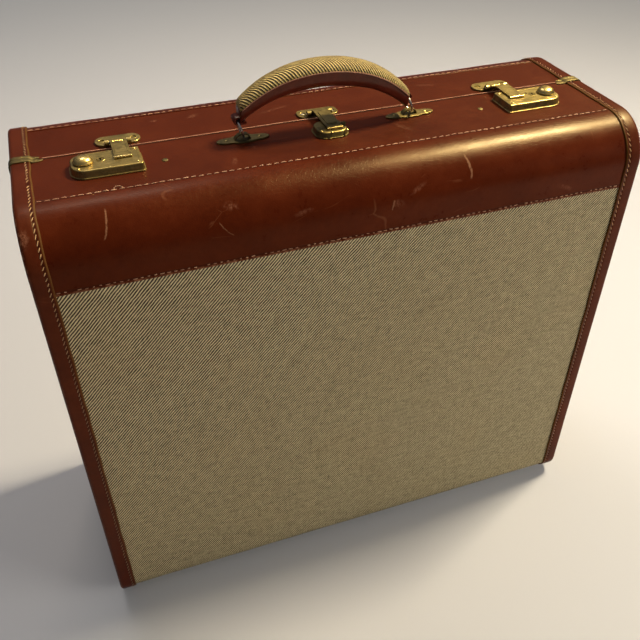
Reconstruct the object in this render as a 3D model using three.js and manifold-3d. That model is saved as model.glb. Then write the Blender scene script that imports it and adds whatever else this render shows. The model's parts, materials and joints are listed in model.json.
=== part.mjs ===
// Hard-sided suitcase with twill canvas panels, leather wraps and bindings, brass latches and an
// arched handle. Millimetres, +Z up, +X to the right, the front (handle) half towards -Y,
// origin under the middle at floor level.
import * as THREE from 'three';
import { mergeVertices } from 'three/addons/utils/BufferGeometryUtils.js';
import Module from 'manifold-3d';

// ---------------------------------------------------------------- driving dimensions
const WIDTH = 533;             // over the end bindings
const DEPTH = 210;             // over the bindings, front to back
const Z_TOP = 464.5;           // top of the bindings
const Z_BASE = 4.5;            // underside of the bindings
const R_TOP = 41.5;            // rounded long edges at the top
const R_BOTTOM = 21.5;         // and at the bottom
const SEAM = 6.5;              // the halves part at this y
const SEAM_GAP = 0.2;          // on each side of it

// Each layer is placed by the depth of its outer face below the binding's outer face.
const BINDING_T = 1.3;
const BINDING_W = 16;          // on the covering and on the end panel
const COVER = 1.5;
const COVER_T = 0.8;
const BOARD = 2.5;
const BOARD_T = 4.5;
const LINING = 7.2;
const LINING_T = 0.8;
const RIM = 8.4;               // inner rim that stands into the back half
const RIM_T = 1.6;
const RIM_FRONT = 20;          // its reach into the front half
const RIM_BACK = 8;            // and into the back half
const END_GAP = 0.2;           // air between the board and the end panel
const JOINT_GAP = 0.15;        // on each side of a joint in the covering
const FLAT_EDGE = 65;          // |y| where the flat top leather meets the rounded wrap
const WRAP_Z = 404;            // the leather wrap ends here, canvas below

const HALF_W = WIDTH / 2;
const COVER_X = HALF_W - BOARD;   // the covering ends flush with the board
const TOP = Z_TOP - COVER;        // leather surface under the hardware
const UNDER = Z_BASE + COVER;     // underside of the canvas
const HW_GAP = 0.3;               // air under the hardware
const HW_Z = TOP + HW_GAP;        // underside of the top hardware
const HW_X = -1.5;                // the top hardware is centred on this x

const REACH = 400;                // cutting blocks run at least this far
const SIDES = [['left', -1], ['right', 1]];
const HALVES = [['front', -1], ['back', 1]];

const FINISHES = {
  leather: { color: 0x6e2a16, roughness: 0.42, metalness: 0 },
  binding: { color: 0x64220f, roughness: 0.45, metalness: 0 },
  canvas: { color: 0xa89468, roughness: 0.9, metalness: 0 },
  board: { color: 0x8a7a5c, roughness: 0.85, metalness: 0 },
  lining: { color: 0x9a7a4c, roughness: 0.9, metalness: 0 },
  rim: { color: 0x5c4a30, roughness: 0.8, metalness: 0 },
  brass: { color: 0xa08440, roughness: 0.38, metalness: 0.9 },
  steel: { color: 0xb8b8b4, roughness: 0.3, metalness: 1 },
  wire: { color: 0xc4c4c0, roughness: 0.25, metalness: 1 },
};

// ---------------------------------------------------------------- solids and meshes
const wasm = await Module();
wasm.setup();

const group = new THREE.Group();
group.name = 'suitcase';

function solid(geometry) {
  const bare = geometry.clone();
  bare.deleteAttribute('normal');
  bare.deleteAttribute('uv');
  const merged = mergeVertices(bare, 1e-5);
  return new wasm.Manifold(new wasm.Mesh({
    numProp: 3,
    vertProperties: new Float32Array(merged.attributes.position.array),
    triVerts: new Uint32Array(merged.index.array),
  }));
}

function add(name, manifold, finish) {
  const data = manifold.getMesh();
  const geometry = new THREE.BufferGeometry();
  const positions = new Float32Array(data.vertProperties);
  geometry.setAttribute('position', new THREE.BufferAttribute(positions, 3));
  geometry.setIndex(new THREE.BufferAttribute(new Uint32Array(data.triVerts), 1));
  geometry.computeVertexNormals();
  const mesh = new THREE.Mesh(geometry, new THREE.MeshStandardMaterial(FINISHES[finish]));
  mesh.name = name;
  group.add(mesh);
}

// ---------------------------------------------------------------- shape helpers
const ordered = (a, b) => [Math.min(a, b), Math.max(a, b)];
const vectors = (points) => points.map(([x, y]) => new THREE.Vector2(x, y));

function extrude(outline, depth, bevel = { bevelEnabled: false }) {
  return new THREE.ExtrudeGeometry(new THREE.Shape(vectors(outline)), {
    depth, steps: 1, ...bevel,
  });
}

function placed(geometry, xAxis, yAxis, zAxis, origin) {
  const axes = [xAxis, yAxis, zAxis].map((axis) => new THREE.Vector3(...axis));
  geometry.applyMatrix4(new THREE.Matrix4().makeBasis(...axes).setPosition(...origin));
  return solid(geometry);
}

// a (y, z) outline carried along X
const alongX = (outline, x0, x1) => placed(
  extrude(outline, x1 - x0), [0, 1, 0], [0, 0, 1], [1, 0, 0], [x0, 0, 0]);

// an (x, z) outline carried along Y
const alongY = (outline, y0, y1) => placed(
  extrude(outline, y1 - y0), [1, 0, 0], [0, 0, 1], [0, -1, 0], [0, y1, 0]);

function box(x0, x1, y0, y1, z0, z1) {
  const geometry = new THREE.BoxGeometry(x1 - x0, y1 - y0, z1 - z0);
  geometry.translate((x0 + x1) / 2, (y0 + y1) / 2, (z0 + z1) / 2);
  return solid(geometry);
}

// a block across the full width, unbounded in z unless told otherwise
const slab = (y0, y1, z0 = -REACH, z1 = 2 * REACH) => box(-REACH, REACH, y0, y1, z0, z1);

// an (x, y) outline carried along Z
function alongZ(outline, z0, z1) {
  const geometry = extrude(outline, z1 - z0);
  geometry.translate(0, 0, z0);
  return solid(geometry);
}

// the same with its top edge rounded; the rounding at the bottom is trimmed off
function roundedAlongZ(outline, z0, z1, radius) {
  const geometry = extrude(outline, z1 - z0, {
    bevelEnabled: true,
    bevelThickness: radius,
    bevelSize: radius,
    bevelOffset: -radius,
    bevelSegments: 3,
  });
  geometry.translate(0, 0, z0 - radius);
  return solid(geometry).subtract(slab(-REACH, REACH, -REACH, z0));
}

function rodX(y, z, x0, x1, radius, segments = 14) {
  const geometry = new THREE.CylinderGeometry(radius, radius, x1 - x0, segments);
  geometry.rotateZ(Math.PI / 2);
  geometry.translate((x0 + x1) / 2, y, z);
  return solid(geometry);
}

function rodZ(x, y, z0, z1, radius, segments = 20) {
  const geometry = new THREE.CylinderGeometry(radius, radius, z1 - z0, segments);
  geometry.rotateX(Math.PI / 2);
  geometry.translate(x, y, (z0 + z1) / 2);
  return solid(geometry);
}

// a (radius, height) profile turned about a vertical axis
function turned(profile, x, y, z, segments = 24) {
  const geometry = new THREE.LatheGeometry(vectors(profile), segments);
  geometry.rotateX(Math.PI / 2);
  geometry.translate(x, y, z);
  return solid(geometry);
}

// a quarter circle, counterclockwise from the start angle
function quarter(x, y, radius, start, segments) {
  return Array.from({ length: segments + 1 }, (_, i) => {
    const angle = start + (Math.PI / 2) * (i / segments);
    return [x + radius * Math.cos(angle), y + radius * Math.sin(angle)];
  });
}

// a rounded rectangle, with separate radii for the -x and +x ends
function roundedRect(x0, x1, y0, y1, left, right = left, segments = 4) {
  return [
    ...quarter(x1 - right, y1 - right, right, 0, segments),
    ...quarter(x0 + left, y1 - left, left, Math.PI / 2, segments),
    ...quarter(x0 + left, y0 + left, left, Math.PI, segments),
    ...quarter(x1 - right, y0 + right, right, 1.5 * Math.PI, segments),
  ];
}

// ---------------------------------------------------------------- the two halves
// the case's (y, z) cross-section, `inset` inside the binding's outer face
function section(inset) {
  const y1 = DEPTH / 2 - inset;
  const z0 = Z_BASE + inset;
  const z1 = Z_TOP - inset;
  const top = R_TOP - inset;
  const bottom = R_BOTTOM - inset;
  return [
    ...quarter(y1 - bottom, z0 + bottom, bottom, -Math.PI / 2, 6),
    ...quarter(y1 - top, z1 - top, top, 0, 9),
    ...quarter(-y1 + top, z1 - top, top, Math.PI / 2, 9),
    ...quarter(-y1 + bottom, z0 + bottom, bottom, Math.PI, 6),
  ];
}

// a hollow case layer, closed at both ends
function closedLayer(inset, thickness) {
  const outerX = HALF_W - inset;
  const innerX = outerX - thickness;
  return alongX(section(inset), -outerX, outerX)
    .subtract(alongX(section(inset + thickness), -innerX, innerX));
}

// canvas over the end of the board
function endPanel(sign) {
  const inner = COVER_X + END_GAP;
  return alongX(section(COVER), ...ordered(sign * inner, sign * (inner + COVER_T)));
}

// an L-shaped band over the edge of the covering and of the end panel
function binding(sign) {
  const inner = HALF_W - BINDING_W;
  const [x0, x1] = ordered(sign * inner, sign * HALF_W);
  const pocket = ordered(sign * (inner - 1), sign * (HALF_W - BINDING_T));
  return alongX(section(0), x0, x1)
    .subtract(alongX(section(BINDING_T), ...pocket))
    .subtract(alongX(section(BINDING_W), x0 - 1, x1 + 1));
}

const board = closedLayer(BOARD, BOARD_T);
const lining = closedLayer(LINING, LINING_T);
const covering = alongX(section(COVER), -COVER_X, COVER_X)
  .subtract(alongX(section(COVER + COVER_T), -COVER_X - 5, COVER_X + 5));
const topLeather = covering.intersect(
  slab(-FLAT_EDGE + JOINT_GAP, FLAT_EDGE - JOINT_GAP, WRAP_Z));
const canvas = covering.intersect(slab(-REACH, REACH, -REACH, WRAP_Z - JOINT_GAP));

for (const [label, sign] of HALVES) {
  const half = slab(...ordered(SEAM + sign * SEAM_GAP, sign * REACH));
  const wrapRange = ordered(sign * (FLAT_EDGE + JOINT_GAP), sign * REACH);
  add(`${label}_shell`, board.intersect(half), 'board');
  add(`${label}_top_leather`, topLeather.intersect(half), 'leather');
  add(`${label}_wrap_leather`,
    covering.intersect(slab(...wrapRange, WRAP_Z + JOINT_GAP)), 'leather');
  add(`${label}_canvas`, canvas.intersect(half), 'canvas');
  add(`${label}_lining`, lining.intersect(half), 'lining');
  for (const [side, sideSign] of SIDES) {
    add(`${label}_end_canvas_${side}`, endPanel(sideSign).intersect(half), 'canvas');
    add(`${label}_binding_${side}`, binding(sideSign).intersect(half), 'binding');
  }
}

add('front_rim', closedLayer(RIM, RIM_T).intersect(slab(SEAM - RIM_FRONT, SEAM + RIM_BACK)), 'rim');

// pocket panel on the back half's inner face
const POCKET = { halfWidth: 205, z0: 40, z1: 235, corner: 14, thickness: 1.6, gap: 0.3 };
const pocketBack = DEPTH / 2 - LINING - LINING_T - POCKET.gap;
const pocketOutline = roundedRect(
  -POCKET.halfWidth, POCKET.halfWidth, POCKET.z0, POCKET.z1, POCKET.corner);
add('back_pocket', alongY(pocketOutline, pocketBack - POCKET.thickness, pocketBack), 'lining');

// ---------------------------------------------------------------- feet
const FOOT_X = 222;
const FOOT_Y = 62;
const FOOT_R = 9;
const FOOT_H = 5.6;
// radius, height
const FOOT_PROFILE = [
  [0, 0], [FOOT_R - 3, 0], [FOOT_R - 1, 1.2], [FOOT_R, 3.4], [FOOT_R, FOOT_H], [0, FOOT_H],
];

for (const [label, sign] of HALVES) {
  for (const [side, sideSign] of SIDES) {
    const foot = turned(FOOT_PROFILE, sideSign * FOOT_X, sign * FOOT_Y, 0);
    add(`foot_${label}_${side}`, foot, 'brass');
  }
}

// ---------------------------------------------------------------- bottom hinges
const HINGE_X = 150;
const HINGE_Z = 3.6;           // axis, in the seam plane
const HINGE_HALF = 20;         // half the hinge's length
const HINGE_R = 2.1;           // knuckles
const HINGE_BORE_R = 1.15;
const HINGE_PIN_R = 1;
const LEAF_T = 1.2;
const LEAF_NEAR = 1.2;         // leaf edges, distance from the seam
const LEAF_FAR = 22;
// x spans from the hinge's middle: two outer knuckles in front, the middle one at the back
const KNUCKLES = {
  front: [[-HINGE_HALF, -7.3], [7.3, HINGE_HALF]],
  back: [[-6.9, 6.9]],
};

const hingeRod = (x0, x1, radius) => rodX(SEAM, HINGE_Z, x0, x1, radius);

function hingeLeaf(x, label, sign) {
  const top = UNDER - HW_GAP;
  const yRange = ordered(SEAM + sign * LEAF_NEAR, SEAM + sign * LEAF_FAR);
  const outline = roundedRect(x - HINGE_HALF, x + HINGE_HALF, ...yRange, 0.6);
  let leaf = alongZ(outline, top - LEAF_T, top);
  // notches for the other leaf's knuckles
  for (const [from, to] of KNUCKLES[label === 'front' ? 'back' : 'front']) {
    leaf = leaf.subtract(box(x + from - 0.4, x + to + 0.4, SEAM - 2.7, SEAM + 2.7, 0, 8));
  }
  for (const [from, to] of KNUCKLES[label]) {
    leaf = leaf.add(hingeRod(x + from, x + to, HINGE_R));
  }
  return leaf.subtract(hingeRod(x - 30, x + 30, HINGE_BORE_R));
}

for (const [side, sideSign] of SIDES) {
  const x = sideSign * HINGE_X;
  for (const [label, sign] of HALVES) {
    add(`hinge_leaf_${label}_${side}`, hingeLeaf(x, label, sign), 'brass');
  }
  const pinHalf = HINGE_HALF - 0.4;
  add(`hinge_pin_${side}`, hingeRod(x - pinHalf, x + pinHalf, HINGE_PIN_R), 'steel');
}

// ---------------------------------------------------------------- seam clips at the ends
const CLIP_IN = 25;            // reach along the top from the case's end
const CLIP_DROP = 27;          // reach down the end
const CLIP_PROUD = 1.5;        // outer face beyond the end binding
const CLIP_TOP = Z_TOP + 1.4;
const CLIP_Y = {
  front: [SEAM - 5.5, SEAM - SEAM_GAP],
  back: [SEAM + SEAM_GAP, SEAM + 4.8],
};

function clip(sign, label) {
  // a block between two distances from the case's middle, up to the clip's top
  const block = (inner, outer, z0, z1 = CLIP_TOP) => box(
    ...ordered(sign * inner, sign * outer), ...CLIP_Y[label], z0, z1);
  const inner = HALF_W - CLIP_IN;
  const outer = HALF_W + CLIP_PROUD;
  return block(inner, outer, Z_TOP + HW_GAP)
    .add(block(inner, HALF_W - BINDING_W - 0.4, HW_Z))
    .add(block(HALF_W + HW_GAP, outer, Z_TOP - CLIP_DROP));
}

for (const [label] of HALVES) {
  for (const [side, sign] of SIDES) add(`${label}_clip_${side}`, clip(sign, label), 'brass');
}

// ---------------------------------------------------------------- hasps, shared by all locks
const PIVOT_Y = 10;
const PIVOT_Z = TOP + 3.6;
const KNUCKLE_R = 2.6;
const PIVOT_BORE_R = 1.2;
const PIVOT_PIN_R = 1.05;
const RIVET_HOLE_R = 2.1;
const PLATE_T = 1.6;
const PLATE_HALF = 19;         // half the hinge plate's width
const KNUCKLE_GAP = 0.5;       // between the hasp and the plate's knuckles

const pivotRod = (x, half, radius) => rodX(PIVOT_Y, PIVOT_Z, x - half, x + half, radius);

// hinge plate on the back half: two outer knuckles, two rivet holes, a notch for the hasp
function haspPlate(haspX, plateX, { half, knuckleEnd, plate }) {
  const knuckleStart = half + KNUCKLE_GAP;
  const outline = roundedRect(plateX - PLATE_HALF, plateX + PLATE_HALF,
    PIVOT_Y + plate.front, PIVOT_Y + plate.back, plate.corner, plate.corner, 5);
  let body = alongZ(outline, HW_Z, HW_Z + PLATE_T);
  for (const sign of [-1, 1]) {
    const holeX = plateX + sign * plate.holeX;
    body = body.subtract(
      rodZ(holeX, PIVOT_Y + plate.holeY, HW_Z - 1, HW_Z + 4, RIVET_HOLE_R, 16));
  }
  body = body.subtract(box(haspX - knuckleStart, haspX + knuckleStart,
    PIVOT_Y - 8, PIVOT_Y + 3.1, HW_Z - 1, HW_Z + 8));
  for (const sign of [-1, 1]) {
    const [x0, x1] = ordered(haspX + sign * knuckleStart, haspX + sign * knuckleEnd);
    body = body
      .add(rodX(PIVOT_Y, PIVOT_Z, x0, x1, KNUCKLE_R, 16))
      .add(box(x0, x1, PIVOT_Y - 1.4, PIVOT_Y + 1.4, HW_Z + 0.4, PIVOT_Z - 0.4));
  }
  return body.subtract(pivotRod(haspX, 30, PIVOT_BORE_R));
}

// knuckle, tongue and the staple under it
function hasp(x, { half, under, profile, staple }) {
  return alongX(profile, x - half, x + half)
    .add(rodX(PIVOT_Y, PIVOT_Z, x - half, x + half, KNUCKLE_R, 16))
    .add(box(x - staple.half, x + staple.half, staple.front, staple.front + 4,
      HW_Z + staple.lift, under + 0.5))
    .subtract(pivotRod(x, 20, PIVOT_BORE_R));
}

// the staple's slot in a lock base, open to the rear and to the top
function stapleSlot(x, staple, baseBack, baseTop) {
  const half = staple.half + 0.8;
  return box(x - half, x + half, staple.front - 1, baseBack + 2,
    HW_Z + staple.lift - 0.6, baseTop + 2);
}

// ---------------------------------------------------------------- side latches
// names in _U are distances from the hardware centre
const LATCH = { inU: 162.5, outU: 220.5, front: -42.5, back: -8.5, top: TOP + 7, edge: 1.4 };
const LATCH_IN_R = 3;          // corner radii at the inner and outer ends
const LATCH_OUT_R = 13;
const HASP_U = 178;
const PLATE_U = HASP_U - 0.6;
const KEY_U = 195.5;
const KEY_Y = -25;
const KEY_R = 2.6;
const KNOB_U = 209;
const KNOB_Y = -26;
const KNOB_R = 8;
const SHANK_HALF = 2;
const SHANK_SLOT_HALF = SHANK_HALF + 0.4;
const SLIDE = 4;               // knob travel, outwards
const SPRING_HALF = 4.4;
const SPRING_GAP_HALF = 4.7;

const HASP_HALF = 6.75;
const HASP_TIP = -29;
const HASP_UNDER = LATCH.top + 0.5;
const HASP_OVER = HASP_UNDER + 1.3;
const SIDE_HASP = {
  half: HASP_HALF,
  knuckleEnd: HASP_HALF + 4.2,
  under: HASP_UNDER,
  staple: { half: 1.6, front: -23.6, lift: 2.2 },
  plate: { front: -1.4, back: 19.5, corner: 8, holeX: 13.2, holeY: 9.5 },
  // y, z: up from the knuckle, forward over the tongue to its rolled tip, back underneath
  profile: [
    [PIVOT_Y - 0.2, PIVOT_Z + 1.3],
    [PIVOT_Y - 0.2, PIVOT_Z + 2.6],
    [PIVOT_Y - 2.6, PIVOT_Z + 4.6],
    [PIVOT_Y - 6, HASP_OVER + 0.2],
    [HASP_TIP + 3, HASP_OVER + 0.5],
    [HASP_TIP + 0.8, HASP_OVER + 0.4],
    [HASP_TIP, HASP_OVER - 0.5],
    [HASP_TIP, HASP_UNDER - 0.1],
    [HASP_TIP + 1.2, HASP_UNDER - 0.1],
    [HASP_TIP + 1.6, HASP_UNDER + 0.3],
    [PIVOT_Y - 6, HASP_UNDER],
    [PIVOT_Y - 3.2, PIVOT_Z + 2.6],
    [PIVOT_Y - 2.4, PIVOT_Z + 0.2],
  ],
};

// radius, height
const KNOB_PROFILE = [
  [0, 0], [KNOB_R - 0.6, 0], [KNOB_R, 0.8], [KNOB_R - 0.3, 2],
  [KNOB_R - 1.6, 3.6], [KNOB_R - 3.8, 4.8], [KNOB_R - 6, 5.3], [0, 5.5],
];

// base: nearly square at the inner end, rounded at the outer, with staple slot, key bore
// and slider slot
function latchBase(sign) {
  const latchX = (u) => HW_X + sign * u;
  const radii = sign < 0 ? [LATCH_OUT_R, LATCH_IN_R] : [LATCH_IN_R, LATCH_OUT_R];
  const outline = roundedRect(...ordered(latchX(LATCH.inU), latchX(LATCH.outU)),
    LATCH.front, LATCH.back, ...radii, 6);
  const slider = ordered(
    latchX(KNOB_U - SHANK_SLOT_HALF), latchX(KNOB_U + SHANK_SLOT_HALF + SLIDE + 0.2));
  return roundedAlongZ(outline, HW_Z, LATCH.top, LATCH.edge)
    .subtract(stapleSlot(latchX(HASP_U), SIDE_HASP.staple, LATCH.back, LATCH.top))
    .subtract(rodZ(latchX(KEY_U), KEY_Y, HW_Z + 2, LATCH.top + 2, KEY_R + 0.3))
    .subtract(box(...slider, KNOB_Y - SHANK_SLOT_HALF, KNOB_Y + SHANK_SLOT_HALF,
      HW_Z + 2, LATCH.top + 2));
}

// sliding knob: a dome on a square shank
function latchKnob(x) {
  return turned(KNOB_PROFILE, x, KNOB_Y, LATCH.top + 0.3)
    .add(box(x - SHANK_HALF, x + SHANK_HALF, KNOB_Y - SHANK_HALF, KNOB_Y + SHANK_HALF,
      HW_Z + 2.4, LATCH.top + 1));
}

// round plug with a key slit along Y
function keyPlug(x) {
  return rodZ(x, KEY_Y, HW_Z + 2.3, LATCH.top + 0.35, KEY_R)
    .subtract(box(x - 0.5, x + 0.5, KEY_Y - 1.9, KEY_Y + 1.9, LATCH.top - 2.2, LATCH.top + 2));
}

// room for the spring, which parts the hasp's knuckle in two
const springGap = (x) => box(x - SPRING_GAP_HALF, x + SPRING_GAP_HALF,
  PIVOT_Y - 2.95, PIVOT_Y + 4, PIVOT_Z - 4, PIVOT_Z + 6);

// the spring is a ribbed sleeve on the pin
function haspSpring(x) {
  const boreR = 1.35;
  const grooveR = 2;
  const ribR = 2.3;
  const pitch = 1.1;
  const profile = [[boreR, -SPRING_HALF]];
  for (let i = 0; i < 8; i++) {
    const start = -SPRING_HALF + i * pitch;
    profile.push(
      [grooveR, start], [ribR, start + 0.35], [ribR, start + 0.75], [grooveR, start + pitch]);
  }
  profile.push([boreR, SPRING_HALF], [boreR, -SPRING_HALF]);
  const geometry = new THREE.LatheGeometry(vectors(profile), 14);
  geometry.rotateZ(-Math.PI / 2);
  geometry.translate(x, PIVOT_Y, PIVOT_Z);
  return solid(geometry);
}

for (const [side, sign] of SIDES) {
  const haspX = HW_X + sign * HASP_U;
  add(`latch_base_${side}`, latchBase(sign), 'brass');
  add(`latch_knob_${side}`, latchKnob(HW_X + sign * KNOB_U), 'brass');
  add(`key_plug_${side}`, keyPlug(HW_X + sign * KEY_U), 'steel');
  add(`hasp_plate_${side}`, haspPlate(haspX, HW_X + sign * PLATE_U, SIDE_HASP), 'brass');
  add(`hasp_${side}`, hasp(haspX, SIDE_HASP).subtract(springGap(haspX)), 'brass');
  add(`hasp_spring_${side}`, haspSpring(haspX), 'wire');
  add(`hasp_pin_${side}`, pivotRod(haspX, SIDE_HASP.knuckleEnd, PIVOT_PIN_R), 'steel');
}

// ---------------------------------------------------------------- centre lock
const LOCK_X = HW_X - 0.5;
const LOCK = { left: 17, right: 13, front: -38, back: -10, top: TOP + 5.5, edge: 1.2 };
const LOCK_TIP = -33;
const LOCK_UNDER = TOP + 6.1;
const LOCK_OVER = LOCK_UNDER + 1.4;
const LOCK_HASP = {
  half: 7,
  knuckleEnd: 11.5,
  under: LOCK_UNDER,
  staple: { half: 1.8, front: -27.8, lift: 1.8 },
  plate: { front: -3, back: 14, corner: 6, holeX: 13.6, holeY: 6.4 },
  // y, z: in the same order as the side hasp's
  profile: [
    [PIVOT_Y - 0.2, PIVOT_Z + 1.3],
    [PIVOT_Y - 0.2, PIVOT_Z + 2.6],
    [PIVOT_Y - 3.4, PIVOT_Z + 3.9],
    [PIVOT_Y - 8, LOCK_OVER + 0.3],
    [LOCK_TIP + 2, LOCK_OVER + 0.3],
    [LOCK_TIP, LOCK_OVER - 0.7],
    [LOCK_TIP, LOCK_UNDER],
    [PIVOT_Y - 8, LOCK_UNDER],
    [PIVOT_Y - 3.4, PIVOT_Z + 2.4],
    [PIVOT_Y - 2.4, PIVOT_Z + 0.2],
  ],
};
// radius, height of the small dome right of the hasp
const STUD_PROFILE = [[0, 0], [2.4, 0], [2.5, 0.8], [2.2, 1.5], [1.4, 2.0], [0, 2.2]];

function lockBase() {
  const outline = roundedRect(
    LOCK_X - LOCK.left, LOCK_X + LOCK.right, LOCK.front, LOCK.back, 10, 5, 5);
  return roundedAlongZ(outline, HW_Z, LOCK.top, LOCK.edge)
    .subtract(stapleSlot(LOCK_X, LOCK_HASP.staple, LOCK.back, LOCK.top))
    .add(turned(STUD_PROFILE, LOCK_X + 10.1, -24, LOCK.top - 0.2, 16));
}

add('center_lock_base', lockBase(), 'brass');
add('hasp_plate_center', haspPlate(LOCK_X, LOCK_X, LOCK_HASP), 'brass');
add('hasp_center', hasp(LOCK_X, LOCK_HASP), 'brass');
add('hasp_pin_center', pivotRod(LOCK_X, LOCK_HASP.knuckleEnd - 0.2, PIVOT_PIN_R), 'steel');

// ---------------------------------------------------------------- handle
const MOUNT_U = 77;            // handle loops, distance from the hardware centre
const MOUNT_Y = -14;
const RING_R = 8;
const RING_WIRE = 1.1;         // wire radius
const RING_Z = TOP + 11.3;
const RING_LEAN = THREE.MathUtils.degToRad(17);  // the handle hangs to the left, so the rings lean
const RING_DX = -2.35;         // ring centre from the loop's middle
const HANDLE_SHIFT = -5;
const HANDLE_ROLL = THREE.MathUtils.degToRad(2.9);
const HANDLE_SPAN = 76;        // half the arch's length
const GRIP_R = 12.4;

// The arch is drawn about its own middle, with z from the leather surface, then placed.
const handleMatrix = new THREE.Matrix4()
  .makeTranslation(HW_X + HANDLE_SHIFT, MOUNT_Y, TOP)
  .multiply(new THREE.Matrix4().makeRotationY(HANDLE_ROLL));
const outerZ = (x) => 60.7 - 25.5 * (x / 80) ** 2 - 9 * (x / 80) ** 4;
const underZ = (x) => 38.7 - 19.5 * (x / 78) ** 2 - 8 * (x / 78) ** 4;
const splitZ = (x) => underZ(x) + 0.64 * (outerZ(x) - underZ(x));

// an outline between two curves over x = -half..half
function between(lower, upper, half, steps) {
  const stations = Array.from({ length: steps + 1 }, (_, i) => -half + (2 * half * i) / steps);
  return [
    ...stations.map((x) => [x, lower(x)]),
    ...stations.reverse().map((x) => [x, upper(x)]),
  ];
}

// the stretch of arch between two height curves
const arch = (lower, upper, half) => alongY(between(lower, upper, half, 22), -13, 13);

// the handle seen from above, tapering towards its ends
function plan(width, endWidth, half) {
  const halfWidth = (x) => (
    endWidth + (width - endWidth) * Math.sqrt(Math.max(0, 1 - (x / (half + 4)) ** 2))) / 2;
  return alongZ(between((x) => -halfWidth(x), halfWidth, half, 10), -20, 80);
}

// a circle swept along the middle of the arch, which rounds the grip
function grip() {
  const half = HANDLE_SPAN + 4;
  const path = new THREE.CatmullRomCurve3(Array.from({ length: 15 }, (_, i) => {
    const x = -half + (2 * half * i) / 14;
    return new THREE.Vector3(x, 0, 0.5 * (outerZ(x) + underZ(x)));
  }));
  const circle = Array.from({ length: 18 }, (_, i) => {
    const angle = (2 * Math.PI * i) / 18;
    return [GRIP_R * Math.cos(angle), GRIP_R * Math.sin(angle)];
  });
  return solid(new THREE.ExtrudeGeometry(new THREE.Shape(vectors(circle)), {
    steps: 26, bevelEnabled: false, extrudePath: path,
  }));
}

const ringX = (sign) => HW_X + sign * MOUNT_U + RING_DX;
const ringTopX = (sign) => ringX(sign) - RING_R * Math.sin(RING_LEAN);

// a torus round the X direction, leaning with the handle
function ring(sign, wire) {
  const geometry = new THREE.TorusGeometry(RING_R, wire, 10, 28);
  geometry.rotateY(Math.PI / 2);
  geometry.rotateY(-RING_LEAN);
  geometry.translate(ringX(sign), MOUNT_Y, RING_Z);
  return solid(geometry);
}

const ringGroove = (sign) => ring(sign, RING_WIRE + 0.3);

// a block at a ring's top, from `inward` to `outward` of it in x
const blockAtRing = (sign, inward, outward, halfY, z0, z1) => box(
  ...ordered(ringTopX(sign) - sign * inward, ringTopX(sign) + sign * outward),
  MOUNT_Y - halfY, MOUNT_Y + halfY, RING_Z + z0, RING_Z + z1);

// under part of the arch, with ends that reach past the canvas to the rings' tops
function handleLeather() {
  let leather = arch(underZ, (x) => splitZ(x) - 0.3, HANDLE_SPAN)
    .intersect(plan(20, 12, HANDLE_SPAN + 1))
    .transform(handleMatrix.elements);
  for (const [, sign] of SIDES) {
    leather = leather
      .add(blockAtRing(sign, 9, 3.4, 5.5, 4, RING_R + 3.6))
      .subtract(ringGroove(sign));
  }
  // the right end is trimmed level just under its block
  const rightX = HW_X + MOUNT_U;
  return leather.subtract(
    box(rightX - 8, rightX + 20, MOUNT_Y - 20, MOUNT_Y + 20, TOP - 5, RING_Z + 3.9));
}

// upper part of the arch, cut back round the leather ends
function handleCanvas() {
  let twill = arch(splitZ, outerZ, HANDLE_SPAN - 1)
    .intersect(plan(24, 15, HANDLE_SPAN))
    .intersect(grip())
    .transform(handleMatrix.elements);
  for (const [, sign] of SIDES) {
    twill = twill
      .subtract(ringGroove(sign))
      .subtract(blockAtRing(sign, 9.3, 14, 9, -6, RING_R + 3.9));
  }
  return twill;
}

add('handle_leather', handleLeather(), 'leather');
add('handle_canvas', handleCanvas(), 'canvas');
for (const [side, sign] of SIDES) add(`handle_ring_${side}`, ring(sign, RING_WIRE), 'wire');

// ---------------------------------------------------------------- handle mounts
// x, y from the mount's middle: oblong with pointed ends
const MOUNT_OUTLINE = [
  [23, 0], [21.5, 2.8], [17, 4.7], [11, 5.1], [6.5, 6.8],
  [-6.5, 6.8], [-11, 5.1], [-17, 4.7], [-21.5, 2.8],
  [-23, 0], [-21.5, -2.8], [-17, -4.7], [-11, -5.1], [-6.5, -6.8],
  [6.5, -6.8], [11, -5.1], [17, -4.7], [21.5, -2.8],
];
// x from the mount's middle, z from its underside: the raised strap over the ring
const STRAP_OUTLINE = [[-7.2, 0], [6.2, 0], [5.4, 4], [3.4, 6.2], [-4.6, 6.2], [-6.4, 4]];

function handleMount(x) {
  const plate = MOUNT_OUTLINE.map(([dx, dy]) => [x + dx, MOUNT_Y + dy]);
  const strap = STRAP_OUTLINE.map(([dx, dz]) => [x + dx, HW_Z + dz]);
  // the slot is wide enough for the leaning ring to turn in
  const wireZ = RING_Z - RING_R * Math.cos(RING_LEAN);
  return alongZ(plate, HW_Z, HW_Z + 1.2)
    .add(alongY(strap, MOUNT_Y - 2.6, MOUNT_Y + 2.6))
    .subtract(box(x - 4, x + 2.2, MOUNT_Y - 8, MOUNT_Y + 8, wireZ - 2, wireZ + 1.6));
}

for (const [side, sign] of SIDES) {
  add(`handle_mount_${side}`, handleMount(HW_X + sign * MOUNT_U), 'brass');
}

export default group;
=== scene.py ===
# Looks for the hard-sided suitcase: leather skins, twill, bindings, stitches, brass hardware, lining.
# All lengths in the builders are millimetres in the part's frame; meshes are made in metres.
import json
import math
import random

import bpy
from mathutils import Matrix, Vector, noise
from mathutils.geometry import delaunay_2d_cdt

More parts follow.
